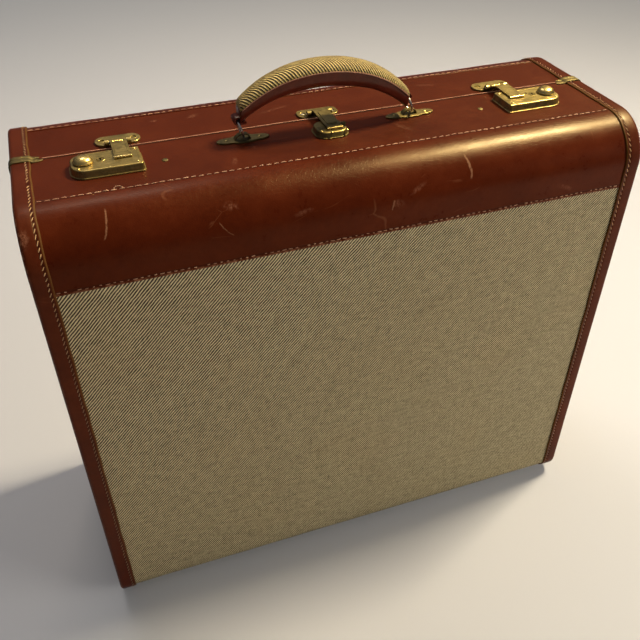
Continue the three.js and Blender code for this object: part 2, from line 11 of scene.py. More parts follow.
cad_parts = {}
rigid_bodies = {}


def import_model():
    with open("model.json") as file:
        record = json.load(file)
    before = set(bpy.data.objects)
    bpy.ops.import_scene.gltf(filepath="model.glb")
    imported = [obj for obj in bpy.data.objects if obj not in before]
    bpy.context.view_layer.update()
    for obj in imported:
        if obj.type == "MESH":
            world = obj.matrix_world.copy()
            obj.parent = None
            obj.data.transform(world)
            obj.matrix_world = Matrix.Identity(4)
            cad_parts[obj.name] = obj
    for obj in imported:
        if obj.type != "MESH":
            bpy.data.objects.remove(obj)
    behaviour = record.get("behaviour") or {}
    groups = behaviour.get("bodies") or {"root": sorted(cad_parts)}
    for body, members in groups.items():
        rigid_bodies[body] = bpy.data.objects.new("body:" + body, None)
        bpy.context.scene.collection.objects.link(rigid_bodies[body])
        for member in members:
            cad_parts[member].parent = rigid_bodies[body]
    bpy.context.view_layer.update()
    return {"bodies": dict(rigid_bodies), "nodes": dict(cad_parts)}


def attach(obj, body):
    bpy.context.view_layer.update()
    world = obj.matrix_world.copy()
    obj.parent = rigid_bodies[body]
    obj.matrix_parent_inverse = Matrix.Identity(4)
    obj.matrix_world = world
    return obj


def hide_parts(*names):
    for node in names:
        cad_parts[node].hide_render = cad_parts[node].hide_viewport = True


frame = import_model()
rng = random.Random(7)
PI = math.pi

# ---------------------------------------------------------------- dimensions, as in the part's source
HALF_W = 266.5
R_TOP, R_BOT = 41.5, 21.5
COVER = 1.5
TOP = 463.0
HW_X = -1.5
PIVOT_Y, PIVOT_Z = 10.0, TOP + 3.6
MOUNT_Y = -14.0
RING_R, RING_Z, RING_LEAN, RING_DX = 8.0, TOP + 11.3, math.radians(17), -2.35
MOUNT_U = 77.0
HANDLE_X, HANDLE_ROLL, HANDLE_SPAN = HW_X - 5.0, math.radians(2.9), 76.0


# ---------------------------------------------------------------- shader nodes
class Mat:
    def __init__(self, name):
        self.m = bpy.data.materials.new(name)
        self.m.use_nodes = True
        self.t = self.m.node_tree
        self.t.nodes.clear()
        out = self.node("ShaderNodeOutputMaterial")
        self.p = self.node("ShaderNodeBsdfPrincipled")
        self.t.links.new(self.p.outputs[0], out.inputs[0])
        self._co = None

    def node(self, kind, **kw):
        n = self.t.nodes.new(kind)
        for k, v in kw.items():
            setattr(n, k, v)
        return n

    def put(self, socket, v):
        if isinstance(v, bpy.types.NodeSocket):
            self.t.links.new(v, socket)
        elif isinstance(v, (tuple, list)) and len(v) == 3 and socket.type == "RGBA":
            socket.default_value = (*v, 1)
        else:
            socket.default_value = v

    def co(self):
        if self._co is None:
            self._co = self.node("ShaderNodeTexCoord").outputs["Object"]
        return self._co

    def uv(self, name):
        return self.node("ShaderNodeUVMap", uv_map=name).outputs[0]

    def xyz(self, v=None):
        n = self.node("ShaderNodeSeparateXYZ")
        self.put(n.inputs[0], v or self.co())
        return n.outputs[0], n.outputs[1], n.outputs[2]

    def vec(self, x, y, z):
        n = self.node("ShaderNodeCombineXYZ")
        for i, v in enumerate((x, y, z)):
            self.put(n.inputs[i], v)
        return n.outputs[0]

    def math(self, op, a, b=None, c=None, clamp=False):
        n = self.node("ShaderNodeMath", operation=op, use_clamp=clamp)
        for i, v in enumerate((a, b, c)):
            if v is not None:
                self.put(n.inputs[i], v)
        return n.outputs[0]

    def add(self, a, b):
        return self.math("ADD", a, b)

    def sub(self, a, b):
        return self.math("SUBTRACT", a, b)

    def mul(self, a, b):
        return self.math("MULTIPLY", a, b)

    def mapv(self, scale=(1, 1, 1), rot=(0, 0, 0), loc=(0, 0, 0), v=None, kind="POINT"):
        n = self.node("ShaderNodeMapping", vector_type=kind)
        self.put(n.inputs[0], v or self.co())
        n.inputs["Location"].default_value = loc
        n.inputs["Rotation"].default_value = rot
        n.inputs["Scale"].default_value = scale
        return n.outputs[0]

    def noise(self, scale, detail=2.0, rough=0.5, dist=0.0, v=None, colour=False):
        n = self.node("ShaderNodeTexNoise")
        self.put(n.inputs["Vector"], v or self.co())
        n.inputs["Scale"].default_value = scale
        n.inputs["Detail"].default_value = detail
        n.inputs["Roughness"].default_value = rough
        n.inputs["Distortion"].default_value = dist
        return n.outputs["Color" if colour else "Fac"]

    def voronoi(self, scale, feature="F1", v=None, randomness=1.0):
        n = self.node("ShaderNodeTexVoronoi", feature=feature)
        self.put(n.inputs["Vector"], v or self.co())
        n.inputs["Scale"].default_value = scale
        n.inputs["Randomness"].default_value = randomness
        return n.outputs["Distance"]

    def step(self, x, lo, hi, to0=0.0, to1=1.0):
        n = self.node("ShaderNodeMapRange", interpolation_type="SMOOTHSTEP")
        self.put(n.inputs[0], x)
        n.inputs[1].default_value, n.inputs[2].default_value = lo, hi
        n.inputs[3].default_value, n.inputs[4].default_value = to0, to1
        return n.outputs[0]

    def ramp(self, fac, stops):
        n = self.node("ShaderNodeValToRGB")
        self.put(n.inputs[0], fac)
        e = n.color_ramp.elements
        e[0].position, e[0].color = stops[0][0], (*stops[0][1], 1)
        e[1].position, e[1].color = stops[-1][0], (*stops[-1][1], 1)
        for pos, col in stops[1:-1]:
            k = e.new(pos)
            k.color = (*col, 1)
        return n.outputs[0]

    def mix(self, fac, a, b, mode="MIX"):
        n = self.node("ShaderNodeMix", data_type="RGBA", blend_type=mode)
        self.put(n.inputs[0], fac)
        self.put(n.inputs[6], a)
        self.put(n.inputs[7], b)
        return n.outputs[2]

    def bump(self, height, distance, strength=1.0, normal=None):
        n = self.node("ShaderNodeBump")
        n.inputs["Strength"].default_value = strength
        n.inputs["Distance"].default_value = distance
        self.put(n.inputs["Height"], height)
        if normal is not None:
            self.put(n.inputs["Normal"], normal)
        return n.outputs[0]

    def set(self, **kw):
        names = {"base": "Base Color", "rough": "Roughness", "metal": "Metallic", "normal": "Normal", "coat": "Coat Weight",
                 "coat_rough": "Coat Roughness", "sheen": "Sheen Weight", "sheen_rough": "Sheen Roughness", "sheen_tint": "Sheen Tint",
                 "spec": "Specular IOR Level", "spec_tint": "Specular Tint", "aniso": "Anisotropic"}
        for k, v in kw.items():
            self.put(self.p.inputs[names[k]], v)
        return self.m


def spot(m, centre, size, rot=(0, 0, 0)):
    """1 at the middle of an ellipsoid, 0 at its rim (millimetres)"""
    g = m.node("ShaderNodeTexGradient", gradient_type="SPHERICAL")
    v = m.mapv(loc=[c * 0.001 for c in centre], rot=rot, scale=[s * 0.001 for s in size], kind="TEXTURE")
    m.put(g.inputs[0], v)
    return g.outputs["Fac"]


def leather(name, dark, mid, light, rough=0.34, scuffs=(), shaded_grooves=(), wear=None, coat=0.25, seed=0.0, matte=0.0, spec=0.2, lines_at=()):
    m = Mat(name)
    at = m.mapv(loc=(seed, seed * 0.7, -seed))
    clouds = m.noise(11, 3, 0.55, 0.4, at)
    patches = m.noise(42, 4, 0.6, 0.3, at)
    mott = m.noise(210, 3, 0.6, 0, at)
    tone = m.add(m.mul(clouds, 0.45), m.add(m.mul(patches, 0.33), m.mul(mott, 0.22)))
    col = m.ramp(tone, [(0.30, dark), (0.5, mid), (0.72, light)])
    # pores and fine creases
    pores = m.voronoi(900, "F1", at)
    grain = m.noise(1500, 3, 0.65, 0, at)
    crease = m.voronoi(260, "DISTANCE_TO_EDGE", m.mapv(scale=(1, 1.4, 1), v=at))
    height = m.add(m.mul(pores, 0.55), m.add(m.mul(grain, 0.35), m.mul(m.step(crease, 0.0, 0.05), 0.25)))
    rr = m.add(rough, m.add(m.mul(m.sub(patches, 0.5), 0.14), m.mul(m.sub(mott, 0.5), 0.16)))
    # long hairline scratches
    lines = m.voronoi(26, "DISTANCE_TO_EDGE", m.mapv(scale=(0.22, 1.0, 1.3), rot=(0.35, 0.5, 0.2), v=m.mix(0.06, at, m.noise(9, 2, colour=True, v=at))))
    scratch = m.mul(m.step(lines, 0.0, 0.006, 1, 0), m.step(m.noise(33, 2, 0.6, v=at), 0.56, 0.66))
    col = m.mix(m.mul(scratch, 0.16), col, (0.36, 0.14, 0.06))
    # rubbed patches
    x, y, z = m.xyz()
    scr = m.noise(420, 6, 0.8, 0, m.mapv(scale=(1, 1, 0.5)))
    for centre, size, rot, amount in scuffs:
        s = m.mul(m.step(spot(m, centre, size, rot), 0.0, 0.8), m.step(scr, 0.40, 0.68))
        col = m.mix(m.mul(s, amount * 0.8), col, (0.36, 0.15, 0.08))
        rr = m.add(rr, m.mul(s, 0.22 * amount))
    for x0, za, zb, lean, bend, side, thick, amount in lines_at:
        # a thin bent scratch on the curve: x follows a bow between two heights
        t = m.mul(m.sub(z, (za + zb) / 2 * 0.001), 2000.0 / (zb - za))
        path = m.add(x0 * 0.001, m.add(m.mul(t, lean * 0.001), m.mul(m.mul(t, t), bend * 0.001)))
        path = m.add(path, m.mul(m.sub(m.noise(160, 3, 0.6), 0.5), 0.003))
        d = m.math("ABSOLUTE", m.sub(x, path))
        g = m.mul(m.step(d, thick * 0.0003, thick * 0.001, 1, 0), m.step(m.math("ABSOLUTE", t), 0.8, 1.05, 1, 0))
        g = m.mul(g, m.step(m.mul(y, side), 0.0, 0.001))
        col = m.mix(m.mul(g, m.step(m.noise(420, 3, 0.7), 0.3, 0.55, 0.35 * amount, amount)), col, (0.40, 0.19, 0.095))
        rr = m.add(rr, m.mul(g, 0.2))
    if wear:
        w = wear(m, x, y, z)
        wn = m.mul(w, m.step(m.noise(300, 5, 0.75, v=at), 0.44, 0.62))
        col = m.mix(m.mul(wn, 0.75), col, (0.4, 0.17, 0.085))
        rr = m.add(rr, m.mul(wn, 0.25))
        height = m.sub(height, m.mul(wn, 0.6))
    # pressed lines along the stitch rows; the colour darkened in them is painted shade in the groove
    for dist in shaded_grooves:
        d = m.math("ABSOLUTE", dist(m, x, y, z))
        g = m.step(d, 0.0003, 0.0016, 1, 0)
        col = m.mix(m.mul(g, 0.45), col, tuple(c * 0.35 for c in dark))
        height = m.sub(height, m.mul(g, 1.6))
    dirt = m.step(m.noise(70, 5, 0.7, v=at), 0.60, 0.78)
    col = m.mix(m.mul(dirt, 0.18), col, tuple(c * 0.5 for c in dark))
    return m.set(base=col, rough=m.math("ADD", rr, matte, clamp=True), normal=m.bump(height, 0.00022, 0.42), coat=coat, coat_rough=0.2, spec=spec, spec_tint=(1.0, 0.78, 0.42))


def twill(name, light, dark, period, mode, contrast=1.0, warm=(0.36, 0.24, 0.1)):
    """diagonal ribs of thread; mode says which two directions lie in the cloth"""
    m = Mat(name)
    x, y, z = m.xyz()
    if mode == "front":
        u, v = x, m.sub(z, y)
    elif mode == "back":
        u, v = x, m.add(z, y)
    elif mode == "end":
        u, v = y, z
    wob = m.noise(55, 3, 0.6)
    fine = m.noise(420, 2, 0.6)
    drift = m.add(m.mul(m.sub(wob, 0.5), 0.0022), m.mul(m.sub(fine, 0.5), 0.0005))
    d = m.add(m.sub(u, m.mul(v, 0.94)), drift)
    e = m.add(m.add(u, v), m.mul(m.sub(fine, 0.5), 0.0005))
    k = 2 * PI / period
    rib = m.math("SINE", m.mul(d, k))
    rib01 = m.math("MULTIPLY_ADD", rib, 0.5, 0.5)
    # yarns crossing the rib
    thread = m.math("SINE", m.mul(e, k * 2.1))
    thread01 = m.math("MULTIPLY_ADD", thread, 0.5, 0.5)
    warp = m.math("SINE", m.mul(u, k * 1.55))
    slub = m.noise(240, 4, 0.7, v=m.vec(m.mul(u, 0.35), v, 0.0))
    slub2 = m.noise(240, 4, 0.7, v=m.vec(u, m.mul(v, 0.35), 3.0))
    fac = m.add(m.mul(m.sub(rib01, 0.47), 1.15 * contrast), m.mul(m.sub(thread01, 0.5), 0.22))
    fac = m.add(fac, m.add(m.mul(m.sub(slub, 0.5), 0.9), m.mul(m.sub(slub2, 0.5), 0.7)))
    fac = m.step(fac, -0.26, 0.36)
    col = m.mix(fac, dark, light)
    tint = m.noise(13, 4, 0.6)
    col = m.mix(m.step(tint, 0.45, 0.75, 0.0, 0.10), col, warm)
    grime = m.noise(30, 5, 0.7)
    low = m.step(z, 0.004, 0.03, 0.22, 0.0)
    col = m.mix(m.add(m.step(grime, 0.52, 0.75, 0.0, 0.14), low), col, tuple(c * 0.6 for c in dark))
    speck = m.step(m.noise(900, 1, 0.5), 0.62, 0.72)
    col = m.mix(m.mul(speck, 0.25), col, tuple(min(1, c * 1.5) for c in light))
    h = m.add(m.mul(rib01, 1.0), m.add(m.mul(thread01, 0.35), m.mul(slub, 0.5)))
    h = m.add(h, m.mul(warp, 0.08))
    return m.set(base=col, rough=0.9, normal=m.bump(h, 0.00042, 0.9), spec=0.1)


def metal(name, base, tarnish, rough=0.28, amount=0.5, bright=None, seed=0.0):
    m = Mat(name)
    at = m.mapv(loc=(seed, seed, seed))
    n1 = m.noise(160, 5, 0.65, 0.4, at)
    n2 = m.noise(900, 4, 0.7, 0, at)
    brush = m.noise(300, 3, 0.7, 0, m.mapv(scale=(0.25, 6, 3), v=at))
    t = m.add(m.mul(n1, 0.7), m.mul(n2, 0.3))
    mask = m.mul(m.step(t, 0.40, 0.66), amount)
    col = m.mix(mask, base, tarnish)
    col = m.mix(m.step(brush, 0.45, 0.75, 0, 0.25), col, bright or tuple(min(1, c * 1.25) for c in base))
    pits = m.step(m.voronoi(1300, "F1", at), 0.06, 0.16)
    rr = m.add(m.add(rough, m.mul(mask, 0.28)), m.mul(m.sub(brush, 0.5), 0.22))
    h = m.add(m.mul(brush, 0.4), m.add(m.mul(n2, 0.5), m.mul(pits, 0.35)))
    return m.set(base=col, rough=rr, metal=m.sub(1.0, m.mul(mask, 0.3)), normal=m.bump(h, 0.00008, 0.5))


def thread_mat(name, light, dark):
    m = Mat(name)
    a = m.noise(70, 2, 0.6)
    b = m.noise(1400, 2, 0.7)
    x, y, z = m.xyz()
    ply = m.math("SINE", m.mul(m.add(m.add(x, m.mul(y, 1.1)), m.mul(z, 0.9)), 2 * PI / 0.0011))
    col = m.mix(m.step(m.add(m.mul(a, 0.75), m.mul(b, 0.25)), 0.4, 0.62), light, dark)
    # threads darker lower down the case: painted shade
    low = m.step(z, 0.28, 0.445, 0.78, 0.0)
    col = m.mix(low, col, tuple(c * 0.45 for c in dark))
    return m.set(base=col, rough=0.75, normal=m.bump(m.add(m.mul(ply, 0.5), b), 0.0002, 0.7), sheen=0.2)


def cloth_mat(name, a, b, pitch=0.0009, moire=True, sheen=0.4):
    m = Mat(name)
    x, y, z = m.xyz()
    u, v = m.add(x, m.mul(y, 0.9)), m.add(z, m.mul(y, 0.7))
    wx = m.math("SINE", m.mul(u, 2 * PI / pitch))
    wz = m.math("SINE", m.mul(v, 2 * PI / pitch))
    weave = m.math("MULTIPLY_ADD", m.mul(wx, wz), 0.5, 0.5)
    big = m.noise(14, 4, 0.6, 0.8)
    streak = m.noise(60, 4, 0.65, 0, m.vec(m.mul(u, 0.2), v, 0.0))
    tone = m.add(m.mul(big, 0.26), m.add(m.mul(streak, 0.16), m.mul(weave, 0.58)))
    if moire:
        ring = m.math("SINE", m.mul(m.add(v, m.mul(big, 0.16)), 2 * PI / 0.021))
        tone = m.add(tone, m.mul(ring, 0.012))
    col = m.ramp(tone, [(0.30, a), (0.70, b)])
    stain = m.step(m.noise(5, 3, 0.55), 0.55, 0.8, 0, 0.22)
    col = m.mix(stain, col, tuple(c * 0.55 for c in a))
    h = m.add(weave, m.mul(streak, 0.3))
    return m.set(base=col, rough=0.62, normal=m.bump(h, 0.00025, 0.6), sheen=sheen, sheen_rough=0.4)


def board_mat(name, a, b):
    m = Mat(name)
    x, y, z = m.xyz()
    fib = m.noise(90, 6, 0.75, 0, m.mapv(scale=(0.3, 3, 3)))
    fleck = m.noise(800, 3, 0.7)
    col = m.ramp(m.add(m.mul(fib, 0.7), m.mul(fleck, 0.3)), [(0.35, a), (0.65, b)])
    return m.set(base=col, rough=0.85, normal=m.bump(m.add(fib, fleck), 0.0004, 0.6))


# stitch rows run 2.4 mm inside the seams and 12.7 mm in from the case's outer corners
row_flat = lambda m, x, y, z: m.sub(m.math("ABSOLUTE", y), 0.0655)
row_low = lambda m, x, y, z: m.sub(z, 0.4066)
# row_seam is the line along the seam between the halves; the leather's darkening there is painted shadow of the gap
row_seam = lambda m, x, y, z: m.sub(y, 0.0060)
row_side = lambda m, x, y, z: m.sub(m.math("ABSOLUTE", x), 0.2538)


def wear_binding(m, x, y, z):
    ax = m.math("ABSOLUTE", x)
    corner = m.mul(m.step(ax, 0.2641, 0.2652), m.step(ax, 0.2658, 0.26635, 1, 0))
    foot = m.step(z, 0.006, 0.05, 1, 0)
    curve = m.mul(m.step(z, 0.43, 0.455), m.step(m.math("ABSOLUTE", y), 0.07, 0.09))
    base = m.add(0.28, m.add(m.mul(foot, 0.75), m.mul(curve, 0.35)))
    seam = m.step(m.math("ABSOLUTE", m.sub(y, 0.0065)), 0.0005, 0.0022, 0.5, 0)
    return m.math("ADD", m.mul(corner, base), seam, clamp=True)


def wear_wrap(m, x, y, z):
    return m.step(z, 0.4045, 0.4062, 0.7, 0)


D_LEATHER, M_LEATHER, L_LEATHER = (0.050, 0.0066, 0.0017), (0.073, 0.0104, 0.0025), (0.104, 0.0168, 0.0042)
SCUFFS = [
    ((28, -103, 429), (7, 4, 5), (0, 0.5, 0), 0.5), ((45, -99, 438), (12, 5, 3), (0, -0.5, 0), 0.6),
    ((-111, -95, 450), (9, 5, 5), (0, 0.3, 0), 0.55), ((-54, -101, 436), (11, 4, 3), (0, -0.2, 0), 0.5),
    ((190, -104, 415), (14, 4, 3), (0, 0.4, 0), 0.4), ((-20, 104, 420), (24, 4, 5), (0, 0.3, 0), 0.5),
    ((150, 101, 440), (10, 6, 10), (0, 0.1, 0), 0.6),
]
SCRATCHES = [
    (-204.0, 441.5, 458.5, 2.6, -1.2, -1, 1.0, 0.5), (95.3, 438.5, 455.5, -1.3, -1.6, -1, 1.2, 0.5),
    (23.0, 424.0, 433.0, 0.8, 0.5, -1, 0.9, 0.4), (-118, 428, 440, -5, 1.5, -1, 0.7, 0.35),
    (-140.0, 430.0, 455.0, 9.0, -3.0, 1, 0.8, 0.6), (96.0, 436.0, 452.0, -5.0, 2.0, 1, 0.9, 0.5),
]
TOP_SCUFFS = [
    ((-109, 48.6, 463), (8, 4, 3), (0, 0, 0.4), 0.55), ((-144, 49.7, 463), (5, 3, 3), (0, 0, 0.2), 0.6),
    ((60, -36, 463), (4, 12, 3), (0, 0, 0.5), 0.5), ((-36, 38, 463), (22, 3, 3), (0, 0, 0.3), 0.35),
    ((-95, -50, 463), (3, 9, 3), (0, 0, -0.3), 0.45), ((120, 44, 463), (14, 3, 3), (0, 0, -0.2), 0.35),
]
MAT = {
    "wrap": leather("leather_wrap", D_LEATHER, M_LEATHER, L_LEATHER, 0.31, SCUFFS, [row_flat, row_low], wear_wrap, 0.015, lines_at=SCRATCHES, spec=0.075),
    "top": leather("leather_top", (0.054, 0.0076, 0.0020), (0.074, 0.0110, 0.0028), (0.100, 0.0165, 0.0044), 0.40, TOP_SCUFFS, [row_seam, row_seam], None, 0.01, 0.31, 0.02, spec=0.09),
    "binding": leather("leather_binding", (0.044, 0.0066, 0.0022), (0.070, 0.0112, 0.0034), (0.110, 0.0200, 0.0062), 0.38,
                       [((-263, -95, 452), (6, 10, 10), (0, 0, 0), 0.9)], [row_side], wear_binding, 0.02, 0.57, spec=0.09),
    "raw_edge": leather("leather_raw_edge", (0.22, 0.090, 0.050), (0.40, 0.190, 0.115), (0.58, 0.330, 0.215), 0.7, (), (), None, 0.0, 0.9, 0.1),
    "cut_edge": leather("leather_cut_edge", (0.045, 0.012, 0.0026), (0.085, 0.030, 0.0055), (0.14, 0.058, 0.011), 0.6, (), (), None, 0.0, 0.4, 0.1),
    "grip": leather("leather_grip", (0.035, 0.006, 0.004), (0.078, 0.011, 0.0055), (0.13, 0.022, 0.010), 0.36, (), (), None, 0.25, 0.13),
    "twill_front": twill("twill_front", (0.60, 0.495, 0.285), (0.030, 0.021, 0.009), 0.00308, "front"),
    "twill_back": twill("twill_back", (0.60, 0.495, 0.285), (0.030, 0.021, 0.009), 0.00308, "back"),
    "twill_end": twill("twill_end", (0.60, 0.495, 0.285), (0.030, 0.021, 0.009), 0.00308, "end"),
    "brass": metal("brass_aged", (0.31, 0.24, 0.090), (0.075, 0.056, 0.022), 0.34, 0.85, (0.60, 0.47, 0.21)),
    # brighter, smoother brass: polish, and painted highlight on the knobs, rivet heads, hasp tips and springs
    "brass_bright": metal("brass_bright", (0.60, 0.45, 0.17), (0.24, 0.17, 0.06), 0.26, 0.45, (0.8, 0.64, 0.32), 0.4),
    # darker copy of the brass: tarnish, and painted shade for parts that sit in shade, such as the centre lock under
    # the handle and the handle mounts
    "brass_dark": metal("brass_dark", (0.20, 0.155, 0.060), (0.050, 0.040, 0.018), 0.38, 0.85, (0.36, 0.29, 0.12), 0.8),
    "nickel": metal("nickel", (0.62, 0.60, 0.57), (0.28, 0.25, 0.21), 0.22, 0.45, (0.85, 0.84, 0.82), 1.3),
    "steel": metal("steel", (0.45, 0.44, 0.42), (0.16, 0.13, 0.10), 0.3, 0.6, (0.65, 0.64, 0.62), 1.9),
    # near-black walls for cut slots and keyholes: painted shade inside the holes
    "slot_shade": metal("slot_dark", (0.02, 0.017, 0.012), (0.01, 0.008, 0.006), 0.6, 0.6, None, 2.3),
    "thread": thread_mat("thread_cream", (0.62, 0.34, 0.18), (0.34, 0.14, 0.065)),
    "thread_gold": thread_mat("thread_gold", (0.64, 0.36, 0.14), (0.32, 0.14, 0.04)),
    "brass_old": metal("brass_old", (0.105, 0.084, 0.038), (0.034, 0.027, 0.013), 0.5, 0.8, (0.17, 0.135, 0.06), 2.8),
    "lining": cloth_mat("lining_cloth", (0.30, 0.195, 0.095), (0.46, 0.325, 0.175)),
    "tape": cloth_mat("lining_tape", (0.16, 0.085, 0.04), (0.25, 0.145, 0.07), 0.0012, False, 0.3),
    "board": board_mat("board", (0.20, 0.13, 0.07), (0.38, 0.27, 0.15)),
    "rim": cloth_mat("rim_cloth", (0.25, 0.155, 0.075), (0.37, 0.25, 0.13), 0.0009, False, 0.3),
}


# ---------------------------------------------------------------- meshes
class Geo:
    """closed shells in millimetres, collected into one piece"""

    def __init__(self):
        self.v, self.f, self.m, self.uv = [], [], [], {}

    def add(self, verts, faces, mat=0, move=None):
        base = len(self.v)
        if move is not None:
            verts = [move(p) for p in verts]
        self.v += [tuple(p) for p in verts]
        self.f += [tuple(i + base for i in f) for f in faces]
        self.m += [mat] * len(faces) if isinstance(mat, int) else list(mat)
        return self

    def build(self, name, mats, body, replaces=(), sharp=40, weighted=False, uv=None):
        me = bpy.data.meshes.new(name)
        me.from_pydata([(x * 0.001, y * 0.001, z * 0.001) for x, y, z in self.v], [], self.f)
        for k in mats:
            me.materials.append(MAT[k])
        me.polygons.foreach_set("material_index", self.m)
        me.polygons.foreach_set("use_smooth", [True] * len(me.polygons))
        if uv:
            layer = me.uv_layers.new(name="weave")
            for lp in me.loops:
                layer.data[lp.index].uv = uv(Vector(self.v[lp.vertex_index]))
        me.validate()
        me.update()
        me.set_sharp_from_angle(angle=math.radians(sharp))
        o = bpy.data.objects.new(name, me)
        bpy.context.scene.collection.objects.link(o)
        if weighted:
            w = o.modifiers.new("weighted", "WEIGHTED_NORMAL")
            w.keep_sharp = True
        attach(o, body)
        if replaces:
            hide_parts(*replaces)
        return o


def wob(x, y, z, size, amp):
    return noise.noise(Vector((x / size, y / size, z / size))) * amp


def rounding(d, r):
    if d >= r:
        return 0.0
    k = 1 - max(d, 0.0) / r
    return r * (1 - math.sqrt(max(0.0, 1 - k * k)))


def stops(a, b, step, r0=0.0, r1=0.0):
    """positions from a to b, with extra ones near rounded ends"""
    pts = [a]
    for q in (0.1, 0.3, 0.6, 1.0):
        if r0:
            pts.append(a + r0 * q)
    lo, hi = a + (r0 or 0), b - (r1 or 0)
    n = max(1, round((hi - lo) / step))
    pts += [lo + (hi - lo) * i / n for i in range(1 if True else 0, n)]
    for q in (1.0, 0.6, 0.3, 0.1):
        if r1:
            pts.append(b - r1 * q)
    pts.append(b)
    return pts


class Half:
    """the outer outline of one half, followed from the top seam round to the bottom seam"""

    def __init__(self, name):
        self.name = name
        self.sy = -1 if name == "front" else 1
        self.y0 = -6.3 if name == "front" else 6.7
        self.l1 = 63.5 - self.y0
        self.c1 = PI / 2 * R_TOP
        self.l3 = 397.0
        self.c2 = PI / 2 * R_BOT
        self.l5 = 83.5 - self.y0
        self.length = self.l1 + self.c1 + self.l3 + self.c2 + self.l5
        self.s_flat = self.l1 + R_TOP * math.asin(1.5 / 40)
        self.s_low = self.l1 + self.c1 + 19

    def at(self, s):
        a = self.l1
        if s < a:
            yy, z, ny, nz = self.y0 + s, 464.5, 0, 1
        elif s < a + self.c1:
            t = (s - a) / R_TOP
            yy, z, ny, nz = 63.5 + R_TOP * math.sin(t), 423 + R_TOP * math.cos(t), math.sin(t), math.cos(t)
        elif s < a + self.c1 + self.l3:
            yy, z, ny, nz = 105, 423 - (s - a - self.c1), 1, 0
        elif s < a + self.c1 + self.l3 + self.c2:
            t = (s - a - self.c1 - self.l3) / R_BOT
            yy, z, ny, nz = 83.5 + R_BOT * math.cos(t), 26 - R_BOT * math.sin(t), math.cos(t), -math.sin(t)
        else:
            yy, z, ny, nz = 83.5 - (s - a - self.c1 - self.l3 - self.c2), 4.5, 0, -1
        return self.sy * yy, z, self.sy * ny, nz

    def point(self, s, x, off):
        y, z, ny, nz = self.at(s)
        return (x, y - off * ny, z - off * nz)

    def s_stops(self, s0, s1, flat, arc, r0=0.0, r1=0.0):
        marks = [0, self.l1, self.l1 + self.c1, self.l1 + self.c1 + self.l3, self.length - self.l5, self.length]
        cuts = [s0] + [q for q in marks if s0 + 0.5 < q < s1 - 0.5] + [s1]
        pts = []
        for i, (a, b) in enumerate(zip(cuts, cuts[1:])):
            mid = (a + b) / 2
            curved = self.l1 < mid < self.l1 + self.c1 or self.length - self.l5 - self.c2 < mid < self.length - self.l5
            seg = stops(a, b, arc if curved else flat, r0 if i == 0 else 0, r1 if i == len(cuts) - 2 else 0)
            pts += seg if not pts else seg[1:]
        return pts


FRONT, BACK = Half("front"), Half("back")


def skin(geo, outer, inner, nu, nv, mat=0, edge_mat=None, flip=False):
    """a closed slab from two grids of nu x nv points"""
    v = outer + inner
    n = nu * nv
    f, mm = [], []
    em = mat if edge_mat is None else edge_mat
    q = lambda a, b, c, d: (a, b, c, d) if not flip else (d, c, b, a)
    for i in range(nu - 1):
        for j in range(nv - 1):
            a, b, c, d = i * nv + j, (i + 1) * nv + j, (i + 1) * nv + j + 1, i * nv + j + 1
            f.append(q(a, b, c, d))
            mm.append(mat)
            f.append(q(n + d, n + c, n + b, n + a))
            mm.append(mat)
    for i in range(nu - 1):
        a, b = i * nv, (i + 1) * nv
        f.append(q(a, n + a, n + b, b))
        mm.append(em)
        a, b = i * nv + nv - 1, (i + 1) * nv + nv - 1
        f.append(q(b, n + b, n + a, a))
        mm.append(em)
    for j in range(nv - 1):
        f.append(q(j, j + 1, n + j + 1, n + j))
        mm.append(em)
        a, b = (nu - 1) * nv + j, (nu - 1) * nv + j + 1
        f.append(q(a, n + a, n + b, b))
        mm.append(em)
    geo.add(v, f, mm)


def cover(geo, half, ss, xs, off, thick, mat=0, edge_mat=None):
    """a skin over the outline between two sets of stations; off(s, x) is the depth of its outer face"""
    outer = [half.point(s, x, off(s, x)) for s in ss for x in xs]
    inner = [half.point(s, x, off(s, x) + thick) for s in ss for x in xs]
    skin(geo, outer, inner, len(ss), len(xs), mat, edge_mat, flip=half.sy < 0)


def inset(loop, d):
    """the loop moved inwards by d (counter-clockwise loops shrink)"""
    n, out = len(loop), []
    for i in range(n):
        p0, p1, p2 = Vector(loop[i - 1]), Vector(loop[i]), Vector(loop[(i + 1) % n])
        a, b = (p1 - p0).normalized(), (p2 - p1).normalized()
        na, nb = Vector((-a.y, a.x)), Vector((-b.y, b.x))
        k = na + nb
        if k.length < 1e-6:
            k = na
        k.normalize()
        c = max(0.35, k.dot(na))
        out.append(tuple(p1 + k * (d / c)))
    return out


def inside(p, loop):
    x, y = p
    hit = False
    for (x0, y0), (x1, y1) in zip(loop, loop[1:] + loop[:1]):
        if (y0 > y) != (y1 > y) and x < (x1 - x0) * (y - y0) / (y1 - y0) + x0:
            hit = not hit
    return hit


def fill(loops, extra=()):
    """triangles over an outline with holes; points come back in the order given"""
    pts = [Vector(p) for lp in loops for p in lp] + [Vector(p) for p in extra]
    edges, base = [], 0
    for lp in loops:
        edges += [(base + i, base + (i + 1) % len(lp)) for i in range(len(lp))]
        base += len(lp)
    vs, _, fs, origin, _, _ = delaunay_2d_cdt(pts, edges, [], 0, 1e-7)
    back = [o[0] if o else None for o in origin]
    tris = []
    for t in fs:
        c = sum((vs[i] for i in t), Vector((0, 0))) / 3
        if not inside(c, loops[0]) or any(inside(c, h) for h in loops[1:]):
            continue
        k = [back[i] for i in t]
        if None in k:
            continue
        a, b, d = (pts[i] for i in k)
        if (b - a).cross(d - a) < 0:
            k.reverse()
        tris.append(tuple(k))
    return tris


